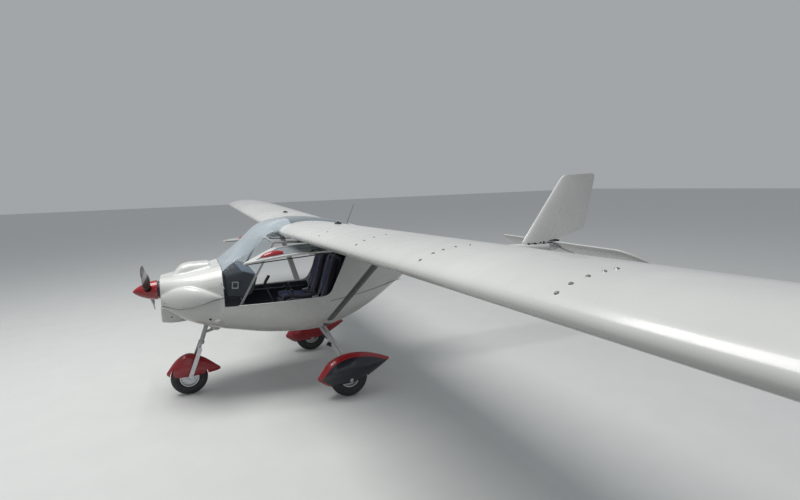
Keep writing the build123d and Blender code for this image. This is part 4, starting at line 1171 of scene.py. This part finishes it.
# %% Screw tree
def screw_tree():
    tree = bpy.data.node_groups.new("screw_heads", "GeometryNodeTree")
    tree.is_modifier = True
    inputs = {}
    for name, kind in (
        ("Points", "Geometry"), ("Head radius", "Float"), ("Head height", "Float"), ("Finish", "Material"),
    ):
        made = tree.interface.new_socket(name, in_out="INPUT", socket_type=f"NodeSocket{kind}")
        inputs[name] = made.identifier
    tree.interface.new_socket("Heads", in_out="OUTPUT", socket_type="NodeSocketGeometry")
    kinds = {
        "source": "NodeGroupInput", "result": "NodeGroupOutput", "head": "GeometryNodeMeshCone",
        "share": "ShaderNodeMath", "way": "GeometryNodeInputNamedAttribute",
        "turn": "FunctionNodeAlignRotationToVector", "spread": "GeometryNodeInstanceOnPoints",
        "real": "GeometryNodeRealizeInstances", "painted": "GeometryNodeSetMaterial",
    }
    node = {name: tree.nodes.new(kind) for name, kind in kinds.items()}
    node["head"].inputs["Vertices"].default_value = 14
    node["share"].operation = "MULTIPLY"
    node["share"].inputs[1].default_value = 0.7
    node["way"].data_type = "FLOAT_VECTOR"
    node["way"].inputs["Name"].default_value = "way"
    for start, output, end, entry in (
        ("source", "Head radius", "head", "Radius Bottom"), ("source", "Head radius", "share", 0),
        ("share", 0, "head", "Radius Top"), ("source", "Head height", "head", "Depth"),
        ("way", "Attribute", "turn", "Vector"), ("source", "Points", "spread", "Points"),
        ("head", "Mesh", "spread", "Instance"), ("turn", "Rotation", "spread", "Rotation"),
        ("spread", "Instances", "real", "Geometry"), ("real", "Geometry", "painted", "Geometry"),
        ("source", "Finish", "painted", "Material"), ("painted", "Geometry", "result", "Heads"),
    ):
        tree.links.new(node[start].outputs[output], node[end].inputs[entry])
    return tree, inputs


SCREWS, SCREW_INPUTS = screw_tree()


def screws(name, places, radius, depth, body="airframe"):
    """One mesh of screw heads at (point, outward direction) places."""
    cloud = mesh_of([p for p, way in places], [])
    ways = cloud.attributes.new("way", "FLOAT_VECTOR", "POINT")
    ways.data.foreach_set("vector", [v for p, way in places for v in way])
    host = stand("rows", cloud)
    step = host.modifiers.new("heads", "NODES")
    step.node_group = SCREWS
    for entry, value in (("Head radius", radius), ("Head height", depth), ("Finish", SCREW_STEEL)):
        step[SCREW_INPUTS[entry]] = value
    return piece(name, settled(host), SCREW_STEEL, body)


def two_sided(place, normal):
    """A screw's place and direction, and the same on the right."""
    return [tuple(Vector((v.x, sign * v.y, v.z)) for v in (place, normal)) for sign in (1, -1)]


def on_skin(mesh, station, y, z):
    """Where a ray from the left meets a skin, with the skin's outward direction."""
    bm = bmesh.new()
    bm.from_mesh(mesh)
    place, normal, _, _ = BVHTree.FromBMesh(bm).ray_cast(at(station, y, z), Vector((0, -1, 0)))
    bm.free()
    return (place, normal) if place is not None else None


# distance from the middle, chord fractions
WING_SCREWS = (
    (1.81, (0.03, 0.08)), (2.67, (0.03, 0.07, 0.12, 0.18)), (3.53, (0.03, 0.08, 0.12, 0.17, 0.23)),
    (4.39, (0.03, 0.07, 0.12, 0.17, 0.21)),
)
# station, height, where the ray starts
COWL_SCREWS = (
    (0.79, 1.28, 0.40), (0.79, 1.19, 0.6), (0.79, 1.085, 0.6), (0.79, 1.05, 0.6), (0.79, 0.9, 0.6),
    (0.79, 0.8, 0.6), (0.29, 1.03, 0.6), (0.45, 1.0, 0.6), (0.62, 1.035, 0.6),
)
heads = []
for y, shares in WING_SCREWS:
    for f in shares:
        normal = (wing_top(f + 0.01, y) - wing_top(f, y)).cross(OUT).normalized()
        place = wing_point(f, surface(f, 1) + 0.0003, y - ROOT_Y)
        heads += two_sided(place, normal if normal.z > 0 else -normal)
screws("wing_screws", heads, 0.008, 0.003)
heads = []
for station, z, y in COWL_SCREWS:
    found = on_skin(upper, station - 0.004, y, z) or on_skin(lower, station - 0.004, y, z)
    if found:
        heads += two_sided(*found)
screws("cowl_screws", heads, 0.006, 0.003)
heads = []
for turn_deg in range(18, 378, 36):
    normal = Vector((0, cos(radians(turn_deg)), sin(radians(turn_deg))))
    heads.append((at(0.208, 0, THRUST_Z) + normal * 0.0945, normal))
screws("spinner_screws", heads, 0.0045, 0.002, "propeller_group")
print("screws set")

# %% [markdown]
# ## Cabin lining, sill and frame edge
# Inside, the moulded walls are lined in dark material, and a bulkhead closes the luggage space. A
# thin bright edge runs along the sill and up the rear post, where the door seals. The lining is
# one hull cut from a slightly larger one, which gives its thickness and its end wall at once.
# Edges and seals are thin pipes laid on the same hull's side, so they follow its curve. A dark pipe on the
# cowl's side under its cheeks is painted shadow for the overhang there.

# %% Lining and edges
LINING_IN, LINING_THICK, LINING_END = 0.0135, 0.003, 2.5


def lined(inset, start, inner_start, *cuts):
    """Thin layer inside the pod, cut by Booleans."""
    inner = hull(POD_ROWS, inset + LINING_THICK, 40, inner_start, LINING_END - 0.01)
    return carve(hull(POD_ROWS, inset, 40, start, LINING_END), *less(inner), *cuts)


below_sill = prism([(0.83, 0.5), (0.83, 0.955), (1.81, 0.955), (1.83, 0.9), (2.74, 0.99), (2.74, 0.5)])
rear_zone = prism([(1.84, 0.92), (1.84, 0.965), (2.13, 1.5), (2.5, 1.47), (2.5, 1.0), (2.4, 0.97)])
piece("cabin_lining", lined(LINING_IN, 0.81, 0.7, *within(below_sill)), TRIM)
rear_lining = lined(LINING_IN + HALF_GAP, 1.7, 1.6, *within(rear_zone), *less(*wing_roots))
piece("luggage_lining", rear_lining, TRIM)


def between(start, end, shares):
    """Points on the line between two, by shares."""
    return [tuple(a + (b - a) * t for a, b in zip(start, end)) for t in shares]


def laid_on(rows, side_line, inset, radius, **options):
    """Pipe laid on a hull along (station, height) points, sunk by an inset."""
    return pipe([at(s, side_of(rows, s, z) - inset, z) for s, z in side_line], radius, **options)


edge_path = [
    *[(s, SILL_Z) for s in np.linspace(0.925, corner_fill[0][0] - 0.01, 22)], *corner_fill,
    *between(fill_top, (2.09, 1.49), np.linspace(0.05, 1, 16)),
]
piece("sill_edges", both(laid_on(POD_ROWS, edge_path, 0.004, 0.006)), WHITE)
seal = laid_on(DOOR_ROWS, rounded(shrunk(DOOR_SIDE, 0.012), 0.04), 0.018, 0.005, closed=True)
latch = join(
    plate(((1.5, 0.985), (1.5, 1.003), (1.62, 1.003), (1.62, 0.985)), 0.535, 0.56),
    bar(1.53, 0.55, 0.994, 1.53, 0.572, 0.994, 0.008),
    piped([(1.53, 0.57, 0.994), (1.58, 0.573, 0.994), (1.6, 0.573, 0.996)], 0.006),
)
for mesh in (seal, latch):
    mesh.transform(DOOR_TURN)
for side, turn in SIDES:
    piece(f"door_{side}_seal", turn(seal), SEAL, f"door_{side}_group")
    piece(f"door_{side}_latch", turn(latch), TRIM, f"door_{side}_group")
seam = laid_on(POD_ROWS, between(SEAM_FRONT, SEAM_REAR, np.linspace(0.0, 0.97, 40)), 0.0005, 0.0025)
piece("seam_seals", both(seam), SEAL)
# Dark strip along the cowl's parting line, under the cheeks: painted shadow standing for the shade of the
# overhang, not a seal.
shadow_strip_line = [(s, float(np.interp(s, *zip(*PARTING))) - 0.005) for s in np.linspace(0.262, 0.76, 40)]
piece("cowl_cheek_painted_shadow", both(laid_on(COWL_ROWS, shadow_strip_line, -0.003, 0.006)), SEAL)
print("lining and seals done")

# %% [markdown]
# ## Glareshield and instrument panel
# The panel's hood is a dark moulding with low ribs, seen from ahead through the windscreen. The
# face carries round gauges with bezels and needles, and no marks. The ribs repeat, so they are one
# bar copied in a loop.

# %% Panel and hood
# station, height
HOOD_SIDE = (
    (0.835, 1.20), (0.835, 1.252), (1.0, 1.277), (1.11, 1.235), (1.118, 1.2), (1.09, 1.12), (1.06, 1.055),
    (0.98, 1.045), (0.835, 1.06),
)
HOOD_TOP = ((0.835, 1.252), (1.0, 1.277), (1.11, 1.235))
VISOR_SIDE = (
    (0.985, 1.274), (0.985, 1.282), (1.0, 1.284), (1.118, 1.241), (1.124, 1.2), (1.117, 1.199),
    (1.109, 1.236), (1.0, 1.277),
)
HOLDER_SIDE = ((0.878, 1.132), (0.884, 1.2), (0.944, 1.195), (0.938, 1.127))
HOLDER_HOLE = ((0.888, 1.143), (0.892, 1.19), (0.936, 1.186), (0.93, 1.138))
CARD_SIDE = ((0.889, 1.144), (0.893, 1.189), (0.935, 1.185), (0.929, 1.139))
# side, distance up the face, radius
GAUGES = (
    (0.2, 0.07, 0.04), (0.1, 0.07, 0.04), (0.0, 0.075, 0.032), (-0.1, 0.07, 0.04), (-0.2, 0.07, 0.04),
    (0.3, 0.06, 0.028), (-0.3, 0.06, 0.028), (0.05, 0.015, 0.016), (-0.05, 0.015, 0.016),
)
RIBS, RIB_FIRST, RIB_STEP = 9, 0.86, 0.026


def under_glass(mesh, inset):
    return carve(mesh, *within(hull(GLASS_ROWS, inset, 40, 0.79, 1.3)))


ribs = []
for i in range(RIBS):
    s = RIB_FIRST + RIB_STEP * i
    z = float(np.interp(s, *zip(*HOOD_TOP)))
    ribs.append(under_glass(bar(s, -0.4, z, s, 0.4, z, 0.006, around=14), 0.024))
hood = under_glass(prism(rounded(HOOD_SIDE, 0.02), -0.43, 0.43), 0.028)
piece("glareshield", join(hood, *ribs), HOOD, stands_for=("instrument_panel",))
piece("hood_visor", under_glass(prism(VISOR_SIDE, -0.425, 0.425), 0.022), VISOR)
side_y = side_of(GLASS_ROWS, 0.91, 1.165, 0.028)
hole = plate(HOLDER_HOLE, side_y - 0.002, side_y + 0.02, 0.002)
piece("card_holders", both(carve(plate(HOLDER_SIDE, side_y - 0.012, side_y + 0.003), *less(hole))), STEEL)
piece("card_faces", both(plate(CARD_SIDE, side_y - 0.001, side_y + 0.0015, 0.002)), PANEL)
face_low, face_high = Vector((1.075, 1.07)), Vector((1.115, 1.19))
face_up = (face_high - face_low).normalized()
face_out = Vector((-face_up.y, 0, -face_up.x))
gauges, rims, needles = [], [], []
for y, up_by, r in GAUGES:
    mid = face_low + face_up * up_by
    a = at(mid.x, y, mid.y)
    bezel = tube(a, a + face_out * 0.008, r, around=40)
    inner = tube(a + face_out * 0.003, a + face_out * 0.012, r * 0.86, around=40)
    rims.append(carve(bezel, *less(inner)))
    gauges.append(tube(a, a + face_out * 0.004, r * 0.85, around=40))
    pin = a + face_out * 0.0055
    needles.append(pipe([pin, pin + Vector((0, 0.6, 0.8)) * r * 0.8], 0.0009))
piece("gauge_rims", join(*rims), PLATE)
piece("gauge_faces", join(*gauges), PANEL)
piece("gauge_needles", join(*needles), WHITE)
print("panel done")

# %% [markdown]
# ## Stick and levers
# The stick has a bent tube and a moulded grip that leans forward. Between the seats stand the
# flap and trim levers with round knobs. A pipe on a path gives the bent tube, and a thicker pipe,
# remeshed and smoothed, gets the soft ends of a grip.

# %% Stick and levers
# side, lean ahead, length
LEVERS = ((0.02, 0.05, 0.2), (-0.02, 0.09, 0.17), (0.045, 0.02, 0.13))
LEVER_FOOT = (1.55, 0.835)
# station and height from the knob's middle, side, half width, half height
KNOB = ((-0.016, 0, 0, 0.004, 0.005), (0, 0, 0, 0.014, 0.016), (0.016, 0, 0, 0.004, 0.005))
stick = piped([(1.34, 0, 0.83), (1.31, 0, 0.9), (1.27, 0, 1.0), (1.25, 0, 1.05)], 0.009)
grip_line = [(1.253, 0, 1.035), (1.25, 0, 1.06), (1.262, 0, 1.09), (1.285, 0, 1.125), (1.3, 0, 1.148)]
piece("stick_tube", stick, WELT, stands_for=("control_stick",))
piece("stick_grip", melt(piped(grip_line, 0.017, resolution=5), 0.004, 10), SEAL)
levers, knobs = [], []
for y, lean, length in LEVERS:
    s, top = LEVER_FOOT[0] - lean, LEVER_FOOT[1] + length
    levers.append(bar(LEVER_FOOT[0], y, LEVER_FOOT[1], s, y, top, 0.006))
    knobs.append(pod([(s + ds, top + dz, *rest) for ds, dz, *rest in KNOB], y, 0.0, 14, 24))
piece("cabin_levers", join(*levers), WELT)
piece("lever_knobs", join(*knobs), SEAL)
print("controls done")

# %% [markdown]
# ## Seats
# Each seat is a firm shell with two soft cushions, upholstered in navy cloth with black side pads
# and light piping. The cushions are blown up by a cloth simulation, so their faces crown and their
# edges pull in as stitched covers do. The piping goes on after that, because remeshing would
# swallow it.


# %% Cushions
def ways_along(points):
    """Direction of a path at each of its points."""
    last = len(points) - 1
    return [(points[min(i + 1, last)] - points[max(i - 1, 0)]).normalized() for i in range(last + 1)]


def pad(side_line, y0, y1, thick):
    """Rounded slab along a side line of (station, height) points."""
    rows = [Vector(p) for p in side_line]
    upper_side, lower_side = [], []
    for p, way in zip(rows, ways_along(rows)):
        square = Vector((-way.y, way.x))
        upper_side.append(tuple(p + square * thick / 2))
        lower_side.append(tuple(p - square * thick / 2))
    return prism(rounded(upper_side + lower_side[::-1], thick * 0.45, 5), y0, y1)


def places_of(mesh):
    found = np.empty(len(mesh.vertices) * 3)
    mesh.vertices.foreach_get("co", found)
    return found.reshape(-1, 3)


CUSHION_VOXEL, CUSHION_PRESSURE, LAST_FRAME = 0.0055, 4.0, 14
MIDDLE_SWELL, SIDE_SWELL = 0.012, 0.009


def upholster(mesh, swell):
    """Cushion blown up by cloth under pressure, no point moving further than the swell."""
    dense = melt(mesh, CUSHION_VOXEL, 0)
    rest = places_of(dense)
    host = stand("cushion", dense)
    soft = host.modifiers.new("cloth", "CLOTH")
    soft.settings.use_pressure = True
    soft.settings.uniform_pressure_force = CUSHION_PRESSURE
    soft.settings.effector_weights.gravity = 0
    soft.settings.tension_stiffness = 12
    soft.settings.shear_stiffness = 6
    soft.point_cache.frame_start = 1
    soft.point_cache.frame_end = LAST_FRAME
    for frame_number in range(1, LAST_FRAME + 1):
        bpy.context.scene.frame_set(frame_number)
    blown = bpy.data.meshes.new_from_object(host.evaluated_get(bpy.context.evaluated_depsgraph_get()))
    bpy.context.scene.frame_set(1)
    bpy.data.objects.remove(host)
    move = places_of(blown) - rest
    length = np.linalg.norm(move, axis=1, keepdims=True)
    capped = rest + move * np.minimum(1, swell / np.maximum(length, 1e-9))
    blown.vertices.foreach_set("co", capped.ravel())
    blown.update()
    return blown


# station, height
BASE_LINE = ((1.45, 0.848), (1.5, 0.858), (1.6, 0.848), (1.7, 0.834), (1.78, 0.842))
BACK_LINE = ((1.822, 0.9), (1.85, 0.98), (1.885, 1.1), (1.925, 1.23), (1.955, 1.315))
SHELL_LINE = (
    (1.43, 0.72), (1.43, 0.81), (1.5, 0.825), (1.7, 0.8), (1.8, 0.83), (1.87, 0.93), (1.965, 1.33),
    (2.0, 1.33), (1.885, 0.8), (1.84, 0.72),
)
SEAT_IN, SEAT_OUT = 0.07, 0.403
SIDE_WIDTH, SEAM_HALF = (SEAT_OUT - SEAT_IN) / 5, 0.003
MIDDLE_THICK, SIDE_THICK, PIPING_UP = 0.05, 0.062, 0.034
piping_y = (SEAT_IN + SIDE_WIDTH, SEAT_OUT - SIDE_WIDTH)
seat_shell = prism(rounded(SHELL_LINE, 0.02, 5), 0.06, 0.413)
piece("seat_shells", both(seat_shell), TRIM, stands_for=("seats",))
middle_y = (piping_y[0] + SEAM_HALF, piping_y[1] - SEAM_HALF)
sides_y = ((SEAT_IN, piping_y[0]), (piping_y[1], SEAT_OUT))
for line, name in ((BASE_LINE, "base"), (BACK_LINE, "back")):
    middle = upholster(pad(line, *middle_y, MIDDLE_THICK), MIDDLE_SWELL)
    wings = join(*[upholster(pad(line, *ends, SIDE_THICK), SIDE_SWELL) for ends in sides_y])
    for part, mesh, finish in (("middle", middle, NAVY), ("sides", wings, BLACK_CLOTH)):
        for side, turn in SIDES:
            made = piece(f"seat_{name}_{part}_{side}", turn(mesh), finish, crease=80)
piping = []
for line in (BASE_LINE, BACK_LINE):
    for y in piping_y:
        rows = [Vector(p) for p in line]
        path = [(p.x - w.y * PIPING_UP, y, p.y + w.x * PIPING_UP) for p, w in zip(rows, ways_along(rows))]
        piping.append(piped(path, 0.0035))
piece("seat_piping", both(*piping), WELT)

# %% [markdown]
# The shoulder straps are flat webbing on a smooth path from behind the seat, and the lap strap is
# a thin roll across the cushion with its buckle. A remesh would lose webbing this thin, so the
# straps are drawn directly and not simulated.


# %% Belts
# station, height
SHOULDER = (
    (2.01, 1.3), (1.975, 1.362), (1.93, 1.342), (1.895, 1.25), (1.85, 1.1), (1.81, 0.98), (1.775, 0.905),
)
# station, side, height
LAP = (
    (1.86, 0.085, 0.87), (1.80, 0.1, 0.9), (1.74, 0.17, 0.893), (1.72, 0.235, 0.893), (1.74, 0.3, 0.893),
    (1.8, 0.37, 0.9), (1.86, 0.388, 0.87),
)
BELT_WIDE, BELT_THICK = 0.042, 0.0025


def fine_path(points):
    rows = [(i, *p) for i, p in enumerate(points)]
    return along(rows, np.linspace(0, len(points) - 1, 40))


def strap(points):
    """Flat webbing along points, its width across the hull."""
    rings = []
    for p, way in zip(points, ways_along(points)):
        across = Vector((0, 1, 0))
        square = way.cross(across).normalized()
        rings.append(np.array([
            tuple(p + across * a * BELT_WIDE / 2 + square * b * BELT_THICK / 2)
            for a, b in ((1, 1), (-1, 1), (-1, -1), (1, -1))
        ]))
    return skin(rings)


shoulders = [strap([at(s, y, z) for s, z in fine_path(SHOULDER)]) for y in (0.17, 0.3)]
piece("seat_belts", both(*shoulders, piped(fine_path(LAP), 0.006)), BELT)
buckle = plate(((1.7, 0.9), (1.7, 0.912), (1.765, 0.918), (1.765, 0.906)), 0.21, 0.262)
piece("belt_buckles", both(buckle), PLATE)
print("seats done")

# %% [markdown]
# ## Small fittings outside
# The last pieces are what the eye uses for scale: the gearbox ring, the side lamps, the clamps
# on the main legs, the brackets under the fin, the tail's balance arm, and the aerial. Parts this
# small read by their outline alone, so plates, bars, pods and turned rows make all of them.

# %% Fittings on the cowl and the legs
# station, radius
GEARBOX = (
    (0.228, 0.07), (0.228, 0.086), (0.236, 0.088), (0.238, 0.08), (0.244, 0.08), (0.246, 0.088),
    (0.254, 0.088), (0.256, 0.08), (0.262, 0.08), (0.264, 0.089), (0.288, 0.089),
)
# station, height, radius
DRAINS = ((0.668, 0.852, 0.013), (0.33, 0.86, 0.007))
# station, height, side, half width, half height
LAMP = (
    (0.692, 0.83, 0, 0.005, 0.005), (0.716, 0.83, 0, 0.024, 0.02), (0.762, 0.83, 0, 0.024, 0.02),
    (0.786, 0.83, 0, 0.005, 0.005),
)
FROM_LEFT = 0.8
piece("gearbox_ribs", turned(GEARBOX), CAST, stands_for=("gearbox",))
# Each drain hole is a short dark plug, not an opening: painted shade standing for the dark inside of the
# hole.
holes = []
for station, z, radius in DRAINS:
    place, normal = on_skin(lower, station, FROM_LEFT, z)
    holes.append(tube(place - normal * 0.004, place + normal * 0.0015, radius))
piece("drain_hole_painted_shade", both(*holes), SEAL)
lamp_at = on_skin(lower, 0.741, FROM_LEFT, 0.83)[0]
piece("side_lamps", both(melt(pod(LAMP, lamp_at.y), 0.004, 3)), WHITE)


def axle_at(y):
    return MAIN_AXLE[0], y, MAIN_AXLE[1]


clamp = join(
    plate(((1.74, 0.47), (1.765, 0.50), (1.81, 0.478), (1.79, 0.446)), 0.545, 0.575),
    bar(1.725, 0.46, 0.555, 1.80, 0.545, 0.49, 0.006), bar(1.775, 0.535, 0.474, 1.775, 0.59, 0.474, 0.007),
)
nut = join(
    bar(*axle_at(0.872), *axle_at(0.9), 0.017, around=6), bar(*axle_at(0.88), *axle_at(0.886), 0.022),
)
piece("leg_clamps", both(clamp), SEAL)
piece("axle_nuts", both(nut), STEEL)

# %% Fittings on the tail, the wings and the roof
# station, height, half length
BRACKETS = ((4.66, 1.226, 0.02), (4.76, 1.236, 0.02), (4.905, 1.238, 0.012))
ARM_SIDE = (
    (5.17, 1.15), (5.17, 1.19), (5.24, 1.19), (5.30, 1.158), (5.52, 1.105), (5.52, 1.09), (5.3, 1.135),
)
HORN_SIDE = ((5.06, 1.24), (5.1, 1.262), (5.16, 1.25), (5.13, 1.225))
CAP_Y, CAP_AT = 1.2, 0.3
brackets = []
for s, z, half in BRACKETS:
    side_line = ((s - half, z - 0.045), (s - half, z + 0.012), (s + half, z + 0.014), (s + half, z - 0.045))
    brackets += [plate(side_line, 0.03, 0.035), bar(s, 0.028, z - 0.008, s, 0.042, z - 0.008, 0.006)]
piece("fin_brackets", both(*brackets), SEAL)
arm = join(plate(ARM_SIDE, 0.028, 0.036, 0.01), bar(5.51, 0.02, 1.098, 5.51, 0.05, 1.098, 0.012))
piece("balance_arm", arm, SEAL, "tailplane_group")
piece("rudder_horn", plate(HORN_SIDE, -0.05, 0.05, 0.006), SEAL, "rudder_group")
cap = wing_top(CAP_AT, CAP_Y)
lid, knob = (
    tube(cap + Vector((0, 0, low)), cap + Vector((0, 0, high)), *radii, around)
    for low, high, radii, around in ((-0.004, 0.012, (0.032, 0.028), 40), (0.01, 0.02, (0.01, 0.009), 24))
)
piece("fuel_caps", both(lid, knob), TRIM)
whip = join(
    bar(2.183, 0, 1.64, 2.283, 0, 1.861, 0.003, 0.0016, 14),
    bar(2.178, 0, 1.63, 2.192, 0, 1.662, 0.009, 0.005),
)
piece("whip_antenna_rod", whip, SEAL, stands_for=("whip_antenna",))
print("fittings done")

# %% [markdown]
# ## Floor, light and camera
# A pale studio floor, a large soft key from above and ahead, and a weak fill. The floor shows
# its pale colour only to the camera, in reflections and through panes, and is darker to other
# rays, so it throws little light up at the belly. The camera is off the left wing tip, a little
# above the cabin roof, with a wide lens. Its place and turn were solved from outlines, so they
# are plain numbers and not an aim at a target.

# %% Studio
FLOOR_HALF = 60
floor_corners = [(x * FLOOR_HALF, y * FLOOR_HALF, 0) for x, y in ((-1, -1), (1, -1), (1, 1), (-1, 1))]
ground = Finish("studio_ground", Roughness=0.9)
ray = ground.add("ShaderNodeLightPath")
kinds = [ray.out(f"Is {kind} Ray") for kind in ("Camera", "Glossy", "Transmission")]
seen = (kinds[0] + kinds[1] + kinds[2]).maths("MINIMUM", 1.0)
shown = ground.mix(ground.noise(3.0, 6.0), (0.66, 0.67, 0.66), (0.72, 0.73, 0.72))
ground.set(Base_Color=ground.mix(seen, (0.26, 0.26, 0.25), shown))
floor = piece("studio_floor", mesh_of(floor_corners, [(0, 1, 2, 3)]), ground.material)
floor.parent = None
del floor["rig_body"]


def lamp(name, place, size, watts, colour):
    """Square area lamp that aims at the aircraft's middle."""
    data = bpy.data.lights.new(name, "AREA")
    data.size = size
    data.energy = watts
    data.color = colour
    aim = (Vector((0, 0, 1)) - Vector(place)).to_track_quat("-Z", "Y").to_matrix().to_4x4()
    stand(name, data).matrix_world = Matrix.Translation(place) @ aim


lamp("key", (4, 0, 9), 5, 640, (1.0, 0.985, 0.96))
lamp("fill", (1, 10, 5), 8, 50, (0.95, 0.98, 1.0))
world = bpy.data.worlds.new("studio")
bpy.context.scene.world = world
world.use_nodes = True
background = world.node_tree.nodes["Background"].inputs
background["Color"].default_value = (0.80, 0.84, 0.88, 1)
background["Strength"].default_value = 0.45
bpy.context.scene.view_settings.view_transform = "Standard"

# %% Camera
EYE = Vector((2.418, 5.473, 2.091))
YAW, PITCH, ROLL = radians(-23.16), radians(-7.62), radians(-1.83)
FOCAL, PICTURE_WIDE = 509.1, 800  # pixels
look = Vector((sin(YAW) * cos(PITCH), -cos(YAW) * cos(PITCH), sin(PITCH)))
right = look.cross(Vector((0, 0, 1))).normalized()
up = right.cross(look)
right, up = right * cos(ROLL) + up * sin(ROLL), up * cos(ROLL) - right * sin(ROLL)
eye = stand("eye", bpy.data.cameras.new("eye"))
eye.matrix_world = Matrix.Translation(EYE) @ Matrix((right, up, -look)).transposed().to_4x4()
eye.data.sensor_width = 36
eye.data.lens = FOCAL / PICTURE_WIDE * eye.data.sensor_width
eye.data.clip_end = 200
bpy.context.scene.camera = eye
print("camera at", tuple(EYE))
